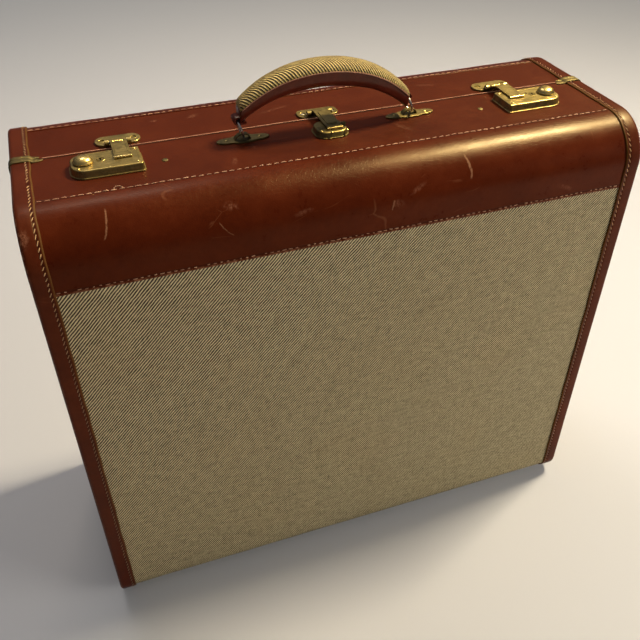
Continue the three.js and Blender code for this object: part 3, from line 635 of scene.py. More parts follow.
def plate(geo, outline, z0, z1, bevel=0.4, holes=(), seg=3, mat=0, move=None, foot=None, dome=None, draft=0.0):
    """a plate over an outline, its upper edges (and hole edges) rounded"""
    area = sum(a[0] * b[1] - b[0] * a[1] for a, b in zip(outline, outline[1:] + outline[:1]))
    outline = list(outline) if area > 0 else list(outline)[::-1]
    loops = [outline]
    for h in holes:
        a2 = sum(a[0] * b[1] - b[0] * a[1] for a, b in zip(h, h[1:] + h[:1]))
        loops.append(list(h)[::-1] if a2 > 0 else list(h))
    layers = [(z0, loops)]
    back = 0.0
    if foot:  # a flange at the bottom: (height, how far it stands out)
        fh, back = foot
        layers += [(z0 + fh - 0.3, loops), (z0 + fh - 0.08, [inset(lp, 0.1) for lp in loops]), (z0 + fh, [inset(lp, 0.32) for lp in loops])]
        layers += [(z0 + fh + 0.04, [inset(lp, back - 0.2) for lp in loops]), (z0 + fh + 0.3, [inset(lp, back) for lp in loops])]
    back += draft
    for i in range(seg + 1):
        t = PI / 2 * i / seg
        layers.append((z1 - bevel * (1 - math.sin(t)), [inset(lp, back + bevel * (1 - math.cos(t))) for lp in loops]))
    n = sum(len(lp) for lp in loops)
    v, f = [], []
    for z, lps in layers:
        for lp in lps:
            v += [(x, y, z) for x, y in lp]
    for k in range(len(layers) - 1):
        base = 0
        for lp in loops:
            m = len(lp)
            for i in range(m):
                a, b = k * n + base + i, k * n + base + (i + 1) % m
                f.append((a, b, b + n, a + n))
            base += m
    top = fill(layers[-1][1])
    last = (len(layers) - 1) * n
    f += [tuple(last + i for i in t) for t in top]
    f += [tuple(reversed(t)) for t in top]
    if dome:
        v = [(x, y, z + dome(x, y) if i >= last else z) for i, (x, y, z) in enumerate(v)]
    geo.add(v, f, mat, move)


def rounded(x0, x1, y0, y1, r, n=7):
    """a rounded rectangle; r is one radius or (left, right)"""
    rl, rr = r if isinstance(r, tuple) else (r, r)
    pts = []
    for cx, cy, q, a0 in ((x1 - rr, y1 - rr, rr, 0), (x0 + rl, y1 - rl, rl, PI / 2), (x0 + rl, y0 + rl, rl, PI), (x1 - rr, y0 + rr, rr, 1.5 * PI)):
        pts += [(cx + q * math.cos(a0 + PI / 2 * i / n), cy + q * math.sin(a0 + PI / 2 * i / n)) for i in range(n + 1)]
    return pts


def circle(x, y, r, n=20):
    return [(x + r * math.cos(2 * PI * i / n), y + r * math.sin(2 * PI * i / n)) for i in range(n)]


def loft(geo, rings, mat=0, closed=False, caps=True, move=None):
    n, k = len(rings[0]), len(rings)
    v = [p for r in rings for p in r]
    f = []
    for i in range(k if closed else k - 1):
        a0, b0 = i * n, ((i + 1) % k) * n
        for j in range(n):
            f.append((a0 + j, a0 + (j + 1) % n, b0 + (j + 1) % n, b0 + j))
    if caps and not closed:
        f.append(tuple(reversed(range(n))))
        f.append(tuple(range((k - 1) * n, k * n)))
    geo.add(v, f, mat, move)


def turned(geo, profile, centre, axis="z", n=28, mat=0, flip=False):
    """a (radius, height) profile turned about an axis through centre; radius 0 closes it"""
    v, f, rows = [], [], []
    cx, cy, cz = centre
    s = -1 if flip else 1

    def put(r, h, t):
        a, b = r * math.cos(t), r * math.sin(t)
        if axis == "z":
            return (cx + a, cy + s * b, cz + s * h)
        if axis == "x":
            return (cx + s * h, cy + a, cz + s * b)
        return (cx + a, cy + s * h, cz - s * b)

    for r, h in profile:
        if r <= 1e-6:
            rows.append([len(v)])
            v.append(put(0, h, 0))
        else:
            rows.append(list(range(len(v), len(v) + n)))
            v += [put(r, h, 2 * PI * i / n) for i in range(n)]
    for a, b in zip(rows, rows[1:]):
        for i in range(n):
            j = (i + 1) % n
            if len(a) == 1 and len(b) == 1:
                continue
            if len(a) == 1:
                f.append((a[0], b[j], b[i]))
            elif len(b) == 1:
                f.append((a[i], a[j], b[0]))
            else:
                f.append((a[i], a[j], b[j], b[i]))
    geo.add(v, f, mat)


def tube(geo, pts, r, n=10, mat=0, closed=False, flat=1.0, up=None):
    """a round (or flattened) thread along points; r is one radius or one for each point"""
    pts = [Vector(p) for p in pts]
    k = len(pts)
    rs = r if isinstance(r, (list, tuple)) else [r] * k
    rings, ref = [], None
    for i, p in enumerate(pts):
        a = pts[i - 1] if (i or closed) else p
        b = pts[(i + 1) % k] if (i < k - 1 or closed) else p
        t = (b - a).normalized()
        if up is not None:
            ref = Vector(up)
        elif ref is None:
            ref = Vector((0, 0, 1)) if abs(t.z) < 0.9 else Vector((1, 0, 0))
        side = t.cross(ref).normalized()
        ref2 = side.cross(t).normalized()
        if up is None:
            ref = ref2
        rings.append([tuple(p + side * (rs[i] * math.cos(2 * PI * j / n)) + ref2 * (rs[i] * flat * math.sin(2 * PI * j / n))) for j in range(n)])
    loft(geo, rings, mat, closed)


def ball(geo, centre, r, h=None, n=14, mat=0, sink=0.3):
    """a low domed head sitting on a surface"""
    h = h or r * 0.6
    prof = [(0, -sink), (r, -sink)] + [(r * math.cos(t), h * math.sin(t)) for t in (0.0, 0.35, 0.7, 1.05, 1.35)] + [(0, h)]
    turned(geo, prof, centre, "z", n, mat)


def stitches(geo, path, pitch=5.8, length=4.5, width=0.95, high=0.38, sink=0.3, jitter=0.35, drop=0.0, mat=0, start=0.0, slant=0.0):
    """threads along a path of (point, normal)"""
    acc = [0.0]
    for (p, _), (q, _) in zip(path, path[1:]):
        acc.append(acc[-1] + (Vector(q) - Vector(p)).length)
    total = acc[-1]

    def locate(d):
        d = min(max(d, 0.0), total)
        lo = 0
        hi = len(acc) - 1
        while hi - lo > 1:
            mid = (lo + hi) // 2
            if acc[mid] <= d:
                lo = mid
            else:
                hi = mid
        t = (d - acc[lo]) / max(1e-9, acc[hi] - acc[lo])
        return Vector(path[lo][0]).lerp(Vector(path[hi][0]), t), Vector(path[lo][1]).lerp(Vector(path[hi][1]), t).normalized()

    d = start + length / 2
    while d + length / 2 < total:
        if rng.random() >= drop:
            ln = length * (1 + (rng.random() - 0.5) * jitter)
            off = (rng.random() - 0.5) * 0.5
            tilt = (rng.random() - 0.5) * 0.55 + slant
            w = width * (0.85 + rng.random() * 0.3)
            hh = high * (0.75 + rng.random() * 0.5)
            rings = []
            for q in (-1.0, -0.82, -0.45, 0.0, 0.45, 0.82, 1.0):
                p, nrm = locate(d + q * ln / 2)
                p2, _ = locate(d + q * ln / 2 + 0.2)
                t = (p2 - p)
                t = t.normalized() if t.length > 1e-9 else Vector((1, 0, 0))
                side = nrm.cross(t).normalized()
                c = p + side * (off + tilt * q) + nrm * (hh * (1 - q ** 4) - sink * q ** 4)
                rr = w / 2 * (1.0 - 0.5 * abs(q) ** 3)
                rings.append([tuple(c + side * (rr * math.cos(a)) + nrm * (rr * 0.8 * math.sin(a))) for a in [2 * PI * j / 8 for j in range(8)]])
            loft(geo, rings, mat)
        d += pitch


# ---------------------------------------------------------------- leather, canvas and bindings of both halves
XC = 264.0
for half in (FRONT, BACK):
    nm, body = half.name, f"{half.name}_half"
    sy = half.sy

    # flat top leather, from the seam to just under the wrap
    g = Geo()
    ss = half.s_stops(0, half.s_flat + 3, 7, 3, 0.7, 0)
    xs = stops(-XC, XC, 9)
    cover(g, half, ss, xs, lambda s, x: COVER + rounding(s, 0.7) * 0.6 + 0.06 + wob(x, s, 3.1 * sy, 46, 0.12) * min(1, s / 8) + rounding(half.s_flat + 3 - s, 4) * 0.05, 0.72, 0, 1)
    g.build(f"{nm}_top_leather_skin", ["top", "raw_edge"], body, [f"{nm}_top_leather"])

    # rounded wrap: laps over the top leather and over the canvas
    g = Geo()
    s0, s1 = half.s_flat - 2.3, half.s_low + 0.4
    ss = half.s_stops(s0, s1, 3.5, 2.6, 0.5, 0.6)
    xs = stops(-XC, XC, 5)

    def off_wrap(s, x, h=half, a=s0, b=s1):
        lap = 0.34 * max(0.0, 1 - (s - a) / 9) ** 1.5
        low = 0.62 * max(0.0, 1 - (b - s) / 7) ** 1.3
        edge = rounding(s - a, 0.5) * 0.75 + rounding(b - s, 0.6)
        # the row of stitches pulls the edge down a little
        pull = 0.12 * math.exp(-(((b - s) - 2.7) / 1.1) ** 2) + 0.10 * math.exp(-(((s - a) - 2.3) / 1.0) ** 2)
        return COVER - 0.12 - lap - low + edge + pull + wob(x, s, 7.7 * h.sy, 38, 0.22) + wob(x, s, 2.2 * h.sy, 14, 0.05)

    cover(g, half, ss, xs, off_wrap, 0.85, 0, 0)
    g.build(f"{nm}_wrap_leather_skin", ["wrap"], body, [f"{nm}_wrap_leather"])

    # canvas down the face and under the bottom
    g = Geo()
    ss = half.s_stops(s1 - 4, half.length, 8, 2.8, 0, 0.5)
    xs = stops(-XC, XC, 8)

    def off_canvas(s, x, h=half, b=s1):
        tuck = 0.35 * max(0.0, 1 - (s - b + 4) / 9)
        return COVER + 0.12 + tuck + wob(x, s, 11.3 * h.sy, 70, 0.22) + wob(x, s, 4.0, 22, 0.07) + rounding(h.length - s, 0.5) * 0.6

    cover(g, half, ss, xs, off_canvas, 0.7)
    g.build(f"{nm}_canvas_skin", [f"twill_{nm}"], body, [f"{nm}_canvas"])

    # rows of stitches along the wrap's two edges
    g = Geo()
    xr = [-250 + 4 * i for i in range(126)]
    stitches(g, [(half.point(half.s_flat, x, off_wrap(half.s_flat, x)), half.at(half.s_flat)[2:] and (0, half.at(half.s_flat)[2], half.at(half.s_flat)[3])) for x in xr], 6.1, 4.7, 0.85, 0.26, 0.2, 0.3)
    s_row = half.s_low - 2.3
    stitches(g, [(half.point(s_row, x, off_wrap(s_row, x)), (0, sy, 0)) for x in xr], 5.2, 3.0, 0.8, 0.26, 0.34, 1.0, 0.1)
    if nm == "front":  # one loose loop
        tube(g, [(-193, -64.6, 462.9), (-192.6, -63.9, 464.0), (-190.8, -63.3, 464.9), (-188.2, -63.2, 464.8), (-186.4, -64.0, 463.9), (-186.0, -64.8, 462.9)], 0.36, 8)
    g.build(f"{nm}_wrap_stitches", ["thread"], body, ())

    for side, sx in (("left", -1), ("right", 1)):
        # end panel of canvas
        g = Geo()
        rim = [half.point(s, 0, 2.4)[1:] for s in half.s_stops(0, half.length, 9, 4)]
        area = sum(a[0] * b[1] - b[0] * a[1] for a, b in zip(rim, rim[1:] + rim[:1]))
        if area < 0:
            rim.reverse()
        fine = []
        ylo, yhi = (-100, 2) if sy < 0 else (11, 100)
        yy = ylo
        while yy <= yhi:
            zz = 14
            while zz < 458:
                if inside((yy, zz), inset(rim, 4)):
                    fine.append((yy, zz))
                zz += 9
            yy += 9
        pts = rim + fine
        tris = fill([rim], fine)
        n = len(pts)

        def bulge(y, z):
            d = min(1.0, max(0.0, min(y - min(p[0] for p in rim), max(p[0] for p in rim) - y) / 40))
            return wob(sx * 9, y, z, 60, 0.22) - 0.05 * d

        v = [(sx * (265.0 - 0.05 + bulge(y, z)), y, z) for y, z in pts] + [(sx * 264.3, y, z) for y, z in rim]
        f = [t if sx > 0 else tuple(reversed(t)) for t in tris]
        k = len(rim)
        back = fill([rim])
        f += [tuple(n + i for i in (reversed(t) if sx > 0 else t)) for t in back]
        for i in range(k):
            a, b = i, (i + 1) % k
            f.append((b, a, n + a, n + b) if sx > 0 else (a, b, n + b, n + a))
        g.add(v, f)
        g.build(f"{nm}_end_canvas_skin_{side}", ["twill_end"], body, [f"{nm}_end_canvas_{side}"], sharp=30)

        # binding: an L of leather carried round the outline
        g = Geo()
        sect = [(0.6, 16.0), (0.16, 15.5), (0.03, 14.8), (0.0, 14.2), (0.14, 13.3), (0.24, 12.7), (0.14, 12.1), (0.0, 11.3), (0.0, 7.5), (0.0, 4.2)]
        sect += [(3.4 - 3.4 * math.cos(t), 3.4 - 3.4 * math.sin(t)) for t in [PI / 2 * i / 8 for i in range(1, 8)]]
        sect += [(4.2, 0.0), (7.5, 0.0), (11.3, 0.0), (12.1, 0.14), (12.7, 0.24), (13.3, 0.14), (14.2, 0.0), (14.8, 0.03), (15.5, 0.16), (16.0, 0.6),
                 (16.0, 1.32), (9.0, 1.32), (2.6, 1.32), (1.7, 1.7), (1.32, 2.6), (1.32, 9.0), (1.32, 16.0)]
        ss = half.s_stops(0, half.length, 7, 2.6)
        rings = []
        for s in ss:
            ring = []
            for a, b in sect:
                sink = wob(sx * 5 + a * 0.3, s, b, 26, 0.16) if a < 1.0 or b < 1.0 else 0
                ea = a + (wob(s, sx * 3, 1, 19, 0.8) if a > 13.5 else 0)
                eb = b + (wob(s, sx * 3, 9, 19, 0.8) if b > 13.5 else 0)
                if a < 1.0:
                    ea += abs(sink) * 0.7
                if b < 1.0:
                    eb += abs(sink) * 0.7
                ring.append(half.point(s, sx * (HALF_W - ea), eb))
            rings.append(ring)
        if sx * sy > 0:
            rings = [r[::-1] for r in rings]
        g2 = Geo()
        loft(g2, rings)
        cut_edge = [i for i, (a, b) in enumerate(sect) if a > 14.5 and b < 2 or b > 14.5 and a < 2]
        if sx * sy > 0:
            cut_edge = [len(sect) - 1 - i for i in cut_edge]
        mats = [2 if all(i % len(sect) in cut_edge for i in f) else 0 for f in g2.f]
        mats[-1] = mats[-2] = 1
        g.add(g2.v, g2.f, mats)
        g.build(f"{nm}_binding_skin_{side}", ["binding", "raw_edge", "cut_edge"], body, [f"{nm}_binding_{side}"], sharp=50)

        # its two rows of stitches
        g = Geo()
        path = [(half.point(s, sx * (HALF_W - 12.7), 0.34), (0, half.at(s)[2], half.at(s)[3])) for s in half.s_stops(3.0, half.length - 3, 4, 1.5)]
        stitches(g, path, 4.7, 4.0, 0.85, 0.32, 0.30, 0.35, 0.03, slant=-0.95 * sx * sy)
        path = [(half.point(s, sx * (HALF_W - 0.34), 12.7), (sx, 0, 0)) for s in half.s_stops(4.0, half.length - 4, 4, 1.5)]
        stitches(g, path, 4.7, 4.0, 0.85, 0.30, 0.30, 0.35, 0.03, slant=0.8)
        if nm == "front" and sx > 0:
            tube(g, [(253.6, -49, 464.1), (253.2, -48.4, 465.6), (252.4, -48.2, 467.4), (251.9, -48.6, 468.8)], [0.4, 0.36, 0.3, 0.2], 8)
        g.build(f"{nm}_binding_stitches_{side}", ["thread_gold"], body, ())

# raw leather edge along the seam, on the back half
g = Geo()
for (x0, x1, zc, nz) in ((-241, 241, TOP, 1), (-249, 249, 6.0, -1)):
    ring = []
    xs = stops(x0, x1, 6)
    rings = []
    for x in xs:
        w = 1.25 + wob(x, 1, zc, 17, 0.5)
        hh = 0.55 + wob(x, 9, zc, 11, 0.22)
        rings.append([(x, 6.75, zc - nz * 0.3), (x, 6.75, zc + nz * hh * 0.7), (x, 6.75 + w * 0.3, zc + nz * hh), (x, 6.75 + w * 0.8, zc + nz * hh * 0.8), (x, 6.75 + w, zc + nz * 0.1), (x, 6.75 + w, zc - nz * 0.3)])
    loft(g, rings if nz > 0 else [r[::-1] for r in rings])
for sx in (-1, 1):
    rings = []
    for z in stops(21, 437, 6):
        w = 1.25 + wob(z, 4, sx, 17, 0.5)
        hh = 0.5 + wob(z, 2, sx * 3, 11, 0.2)
        xx = 265.0
        rings.append([(sx * (xx - 0.3), 6.75, z), (sx * (xx + hh * 0.7), 6.75, z), (sx * (xx + hh), 6.75 + w * 0.3, z), (sx * (xx + hh * 0.8), 6.75 + w * 0.8, z), (sx * (xx + 0.1), 6.75 + w, z), (sx * (xx - 0.3), 6.75 + w, z)])
    loft(g, rings if sx < 0 else [r[::-1] for r in rings])
g.build("back_seam_edge", ["raw_edge"], "back_half", ())

# ---------------------------------------------------------------- seam clips, feet and bottom hinges
for nm, ya, yb in (("front", 1.0, 6.3), ("back", 6.7, 11.3)):
    for side, sx in (("left", -1), ("right", 1)):
        g = Geo()
        # a strip bent over the corner, ends rounded, running down the end face
        tip = 240.5 if nm == "front" else 243.0
        mid = [(tip, TOP + 0.35)] + [(tip + d, TOP + 0.35) for d in (1.2, 2.6, 4.2)] + [(248.0, TOP + 0.35), (249.2, TOP + 0.7), (250.2, TOP + 1.7), (252, TOP + 2.15), (256, TOP + 2.2), (261, TOP + 2.2)]
        mid += [(261.9 + 5.2 * math.sin(t), 460.05 + 5.15 * math.cos(t)) for t in [PI / 2 * i / 7 for i in range(1, 8)]]
        mid += [(267.15, z) for z in (456, 451, 446, 441, 438.2, 437.6)]
        rings = []
        n = len(mid)
        for i, (a, z) in enumerate(mid):
            pa, pb = mid[max(0, i - 1)], mid[min(n - 1, i + 1)]
            tx, tz = pb[0] - pa[0], pb[1] - pa[1]
            ln = math.hypot(tx, tz)
            nx, nz = -tz / ln, tx / ln
            nx, nz = (-nx, -nz) if nz < 0 or (abs(nz) < 1e-6 and nx < 0) else (nx, nz)
            # taper at the tips
            e0, e1 = (a - tip) / 5.5 if i < 5 else 1, 1
            if i >= n - 5:
                e1 = min(1, (z - 437.6) / 6 + 0.35)
            k = min(1.0, 0.22 + 0.78 * max(0, min(1, e0)) ** 0.7) * min(1.0, 0.45 + 0.55 * math.sqrt(max(0, min(1, e1))))
            yc, hw = (ya + yb) / 2, (yb - ya) / 2
            lo, hi = yc - hw * k, yc + hw * k
            t = 0.55
            prof = [(lo, -t), (lo, t - 0.3), (lo + 0.12, t - 0.1), (lo + 0.4, t), ((lo + hi) / 2, t + 0.12), (hi - 0.4, t), (hi - 0.12, t - 0.1), (hi, t - 0.3), (hi, -t)]
            rings.append([(sx * (a + nx * q), y, z + nz * q) for y, q in prof])
        loft(g, rings if sx > 0 else [r[::-1] for r in rings])
        yn = 3.6 if nm == "front" else 9.0
        ball(g, (sx * 246.0, yn, TOP + 0.9), 0.85, 0.35, 12, 1)
        ball(g, (sx * 256.5, yn, TOP + 2.75), 0.9, 0.35, 12, 1)
        turned(g, [(0, -0.3), (0.9, -0.3), (0.9, 0.0), (0.7, 0.2), (0.35, 0.3), (0, 0.33)], (sx * 267.65, yn, 444), "x", 12, 1, flip=sx < 0)
        g.build(f"{nm}_clip_{side}_v", ["brass_old", "brass_dark"], f"{nm}_half", [f"{nm}_clip_{side}"], sharp=45)

for nm, sy in (("front", -1), ("back", 1)):
    for side, sx in (("left", -1), ("right", 1)):
        g = Geo()
        prof = [(0, 0.0), (2.2, 0.05), (4.6, 0.35), (6.6, 1.0), (8.0, 2.0), (8.8, 3.3), (9.0, 4.5), (9.0, 5.3), (8.8, 5.9), (0, 5.9)]
        turned(g, prof, (sx * 222, sy * 62, 0), "z", 36)
        g.build(f"foot_{nm}_{side}_v", ["brass"], f"{nm}_half", [f"foot_{nm}_{side}"], sharp=50)

for side, sx in (("left", -1), ("right", 1)):
    cx = sx * 150
    spans = {"front": [(-20, -7.3), (7.3, 20)], "back": [(-6.9, 6.9)]}
    for nm, sy in (("front", -1), ("back", 1)):
        g = Geo()
        ya, yb = sorted((6.5 + sy * 3.0, 6.5 + sy * 22))
        holes = [circle(cx + dx, 6.5 + sy * 14, 1.9, 14) for dx in (-12, 12)]
        flipz = lambda p: (p[0], p[1], 5.7 + 4.5 - p[2])
        g3 = Geo()
        plate(g3, rounded(cx - 20, cx + 20, ya, yb, 1.5, 4), 4.5, 5.7, 0.35, holes)
        g.add([flipz(p) for p in g3.v], [tuple(reversed(f)) for f in g3.f])
        for dx in (-12, 12):
            turned(g, [(0, 0.15), (1.75, 0.15), (1.75, 0.6), (1.5, 0.9), (0, 1.0)], (cx + dx, 6.5 + sy * 14, 5.5), "z", 14, 1, flip=True)
        for a, b in spans[nm]:
            turned(g, [(1.15, a), (2.0, a), (2.1, a + 0.15), (2.1, b - 0.15), (2.0, b), (1.15, b), (1.15, a)], (cx, 6.5, 3.6), "x", 20)
            y1, y2 = sorted((6.5 + sy * 1.2, 6.5 + sy * 4.0))
            plate(g, rounded(cx + a, cx + b, y1, y2, 0.3, 2), 4.4, 5.6, 0.2)
        g.build(f"hinge_leaf_{nm}_{side}_v", ["brass_dark", "steel"], f"{nm}_half", [f"hinge_leaf_{nm}_{side}"], weighted=True)
    g = Geo()
    turned(g, [(0, -20.3), (0.7, -20.2), (1.0, -19.8), (1.0, 19.8), (0.7, 20.2), (0, 20.3)], (cx, 6.5, 3.6), "x", 18)
    g.build(f"hinge_pin_{side}_v", ["steel"], "back_half", [f"hinge_pin_{side}"])


# ---------------------------------------------------------------- latches
def cut(obj, cutters):
    """takes boxes and rods out of a piece, then forgets them"""
    for c in cutters:
        m = obj.modifiers.new("cut", "BOOLEAN")
        m.operation, m.solver, m.object = "DIFFERENCE", "EXACT", c
    bpy.context.view_layer.update()
    dg = bpy.context.evaluated_depsgraph_get()
    me = bpy.data.meshes.new_from_object(obj.evaluated_get(dg), depsgraph=dg)
    old = obj.data
    obj.modifiers.clear()
    obj.data = me
    bpy.data.meshes.remove(old)
    for c in cutters:
        bpy.data.objects.remove(c)
    me.set_sharp_from_angle(angle=math.radians(38))
    w = obj.modifiers.new("weighted", "WEIGHTED_NORMAL")
    w.keep_sharp = True


def cutter(outline, z0, z1):
    g = Geo()
    plate(g, outline, z0, z1, 0.001, (), 1)
    me = bpy.data.meshes.new("cutter")
    me.from_pydata([(x * 0.001, y * 0.001, z * 0.001) for x, y, z in g.v], [], g.f)
    me.update()
    # the cut walls take the near-black material: painted shade
    me.materials.append(MAT["slot_shade"])
    o = bpy.data.objects.new("cutter", me)
    bpy.context.scene.collection.objects.link(o)
    return o


def ribbon(geo, line, thick, x0, x1, mat=0, round_end=0.35, flare=None):
    """a strip with a (y, z) centre line, x0..x1 wide"""
    n = len(line)
    rings = []
    for i, (y, z) in enumerate(line):
        a, b = line[max(0, i - 1)], line[min(n - 1, i + 1)]
        ty, tz = b[0] - a[0], b[1] - a[1]
        ln = math.hypot(ty, tz)
        ny, nz = -tz / ln, ty / ln
        if nz < 0:
            ny, nz = -ny, -nz
        h, c = thick / 2, min(0.35, thick / 3)
        w = flare(i / (n - 1)) if flare else 0
        xa, xb = x0 - w, x1 + w
        prof = [(xa, -h + c), (xa + 0.3 * c, -h + 0.3 * c), (xa + c, -h), (xb - c, -h), (xb - 0.3 * c, -h + 0.3 * c), (xb, -h + c), (xb, h - c), (xb - 0.3 * c, h - 0.3 * c), (xb - c, h), (xa + c, h), (xa + 0.3 * c, h - 0.3 * c), (xa, h - c)]
        rings.append([(x, y + ny * q, z + nz * q) for x, q in prof])
    loft(geo, [r[::-1] for r in rings], mat)


def barrel(geo, x0, x1, r, mat=0, hole=1.15):
    turned(geo, [(hole, x0), (r - 0.3, x0), (r - 0.08, x0 + 0.1), (r, x0 + 0.35), (r, x1 - 0.35), (r - 0.08, x1 - 0.1), (r - 0.3, x1), (hole, x1), (hole, x0)], (0, PIVOT_Y, PIVOT_Z), "x", 28, mat)


z0, z1 = TOP + 0.05, TOP + 7.0
for side, s in (("left", -1), ("right", 1)):
    X = lambda u: HW_X + s * u
    span = lambda u0, u1: tuple(sorted((X(u0), X(u1))))
    bx0, bx1 = span(162.5, 220.5)
    rad = (13, 3) if s < 0 else (3, 13)
    g = Geo()
    plate(g, rounded(bx0, bx1, -42.5, -8.5, rad, 9), z0, z1, 1.1, (), 6, foot=(1.0, 0.7), draft=0.8)
    o = g.build(f"latch_base_{side}_v", ["brass", "slot_shade"], "front_half", [f"latch_base_{side}"])
    hs0, hs1 = span(178 - 2.4, 178 + 2.4)
    ks0, ks1 = span(209 - 2.4, 209 + 2.4 + 4.2)
    cuts = [cutter(rounded(hs0, hs1, -24.6, -5, 0.4, 2), z0 + 1.9, z1 + 2), cutter(circle(X(195.5), -25, 2.95, 24), z0 + 2.0, z1 + 2), cutter(rounded(ks0, ks1, -28.4, -23.6, 0.5, 2), z0 + 2, z1 + 2)]
    if s > 0:
        cuts.append(cutter(rounded(X(190.6), X(192.0), -22.6, -19.6, 0.6, 3), z0 + 4, z1 + 2))
    cut(o, cuts)

    # rim round the keyhole, pressed border and small rivets
    g = Geo()
    turned(g, [(2.95, -0.3), (3.7, -0.3), (3.7, 0.1), (3.5, 0.3), (3.1, 0.3), (2.95, 0.1), (2.95, -0.3)], (X(195.5), -25, z1), "z", 28)
    ins = 3.6
    loop = rounded(bx0 + ins, bx1 - ins, -42.5 + ins, -8.5 - ins, (9.5, 1.5) if s < 0 else (1.5, 9.5), 7)
    tube(g, [(x, y, z1 + 0.02) for x, y in loop], 0.35, 8, 0, True, 0.55, up=(0, 0, 1))
    for u, y in ((167.8, -37.2), (213.5, -36.5), (167.6, -13.6)):
        ball(g, (X(u), y, z1), 1.25, 0.75, 14, 1)
    g.build(f"latch_trim_{side}", ["brass", "brass_bright"], "front_half", ())

    # key plug with its slit
    g = Geo()
    turned(g, [(0, 0), (2.6, 0), (2.6, 4.9), (2.45, 5.15), (0, 5.2)], (X(195.5), -25, z0 + 2.1), "z", 28)
    o = g.build(f"key_plug_{side}_v", ["brass_dark", "slot_shade"], f"{side}_key_plug", [f"key_plug_{side}"])
    kx = X(195.5)
    o.parent = None
    cut(o, [cutter(rounded(kx - 0.55, kx + 0.55, -26.9, -23.1, 0.4, 3), z1 - 2.2, z1 + 2), cutter(circle(kx, -24.2, 1.05, 16), z1 - 2.2, z1 + 2)])
    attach(o, f"{side}_key_plug")

    # knob: a dome on a collar
    g = Geo()
    prof = [(0, 0.25), (6.9, 0.25), (7.6, 0.45), (8.0, 0.95), (7.95, 1.5), (7.55, 1.9), (7.35, 2.3), (7.1, 2.9), (6.5, 3.75), (5.6, 4.5), (4.4, 5.1), (2.9, 5.5), (1.4, 5.68), (0, 5.72)]
    turned(g, prof, (X(209), -26, z1), "z", 48)
    plate(g, rounded(X(209) - 2, X(209) + 2, -28, -24, 0.4, 2), z0 + 2.5, z1 + 1.0, 0.1)
    g.build(f"latch_knob_{side}_v", ["brass_bright"], f"{side}_slider", [f"latch_knob_{side}"], sharp=60)

    # hinge plate with two eyes, on the back half
    pc = X(177.4)
    g = Geo()
    out = []
    for i in range(64):
        t = 2 * PI * i / 64
        cxx = 11.6 if math.cos(t) > 0 else -11.6
        ex = cxx + 7.4 * math.cos(t)
        ey = 8.6 * math.sin(t)
        out.append((ex, ey))
    # the two-lobed outline moved to sit behind the pivot
    shape = []
    for x, y in out:
        shape.append((pc + x, PIVOT_Y + 9.4 + y))
    eye = [circle(pc + k * 13.2, PIVOT_Y + 9.6, 2.3, 20) for k in (-1, 1)]
    plate(g, shape, z0, z0 + 1.75, 0.6, eye, 4)
    for k in (-1, 1):
        tube(g, [(x, y, z0 + 1.72) for x, y in circle(pc + k * 13.2, PIVOT_Y + 9.6, 2.9, 26)], 0.42, 8, 0, True, 0.6, up=(0, 0, 1))
        turned(g, [(0, 0.1), (2.25, 0.1), (2.2, 0.75), (1.7, 1.15), (0.8, 1.35), (0, 1.4)], (pc + k * 13.2, PIVOT_Y + 9.6, z0), "z", 20, 1)
    hx = X(178)
    for k in (-1, 1):
        a, b = sorted((hx + k * 7.25, hx + k * 10.95))
        barrel(g, a, b, 2.6)
        rings = []
        for y, zl, zh in ((PIVOT_Y - 0.4, z0 + 0.2, PIVOT_Z - 0.6), (PIVOT_Y + 0.8, z0 + 0.1, PIVOT_Z + 0.3), (PIVOT_Y + 2.4, z0 + 0.1, PIVOT_Z - 0.5), (PIVOT_Y + 4.0, z0 + 0.1, z0 + 2.1)):
            rings.append([(a, y, zl), (b, y, zl), (b, y, zh), (a, y, zh)])
        loft(g, [r[::-1] for r in rings])
    g.build(f"hasp_plate_{side}_v", ["brass", "brass_dark"], "back_half", [f"hasp_plate_{side}"], weighted=True)

    # the hasp: two knuckles, a tongue over the base, a rolled tip, a staple below
    g = Geo()
    t0 = TOP + 7.5
    arm = [(PIVOT_Y + 0.6, PIVOT_Z + 1.85), (PIVOT_Y - 0.6, PIVOT_Z + 1.95), (PIVOT_Y - 1.9, PIVOT_Z + 1.8), (PIVOT_Y - 3.0, PIVOT_Z + 1.75), (PIVOT_Y - 4.4, PIVOT_Z + 2.2)]
    for k in (-1, 1):
        a, b = sorted((hx + k * 4.8, hx + k * 6.75))
        ribbon(g, arm, 1.2, a, b)
    line = [(PIVOT_Y - 3.1, PIVOT_Z - 0.8), (PIVOT_Y - 3.4, PIVOT_Z + 0.7), (PIVOT_Y - 4.4, PIVOT_Z + 1.9), (PIVOT_Y - 6.0, PIVOT_Z + 2.9), (PIVOT_Y - 8.0, PIVOT_Z + 3.75), (PIVOT_Y - 10.2, t0 + 0.6), (-6, t0 + 0.7), (-16, t0 + 0.7), (-23.5, t0 + 0.72), (-25.6, t0 + 0.95), (-27.0, t0 + 1.05), (-28.2, t0 + 0.8)]
    ribbon(g, line, 1.25, hx - 6.75, hx + 6.75, 0, flare=lambda q: 0.0 if q < 0.7 else 0.55 * (q - 0.7) / 0.3)
    # rolled tip
    tip = [(hx - 7.2, -27.9, t0 + 0.62), (hx - 6.9, -27.9, t0 + 0.62), (hx, -28.0, t0 + 0.62), (hx + 6.9, -27.9, t0 + 0.62), (hx + 7.2, -27.9, t0 + 0.62)]
    tube(g, tip, [0.7, 0.95, 0.98, 0.95, 0.7], 14, 1)
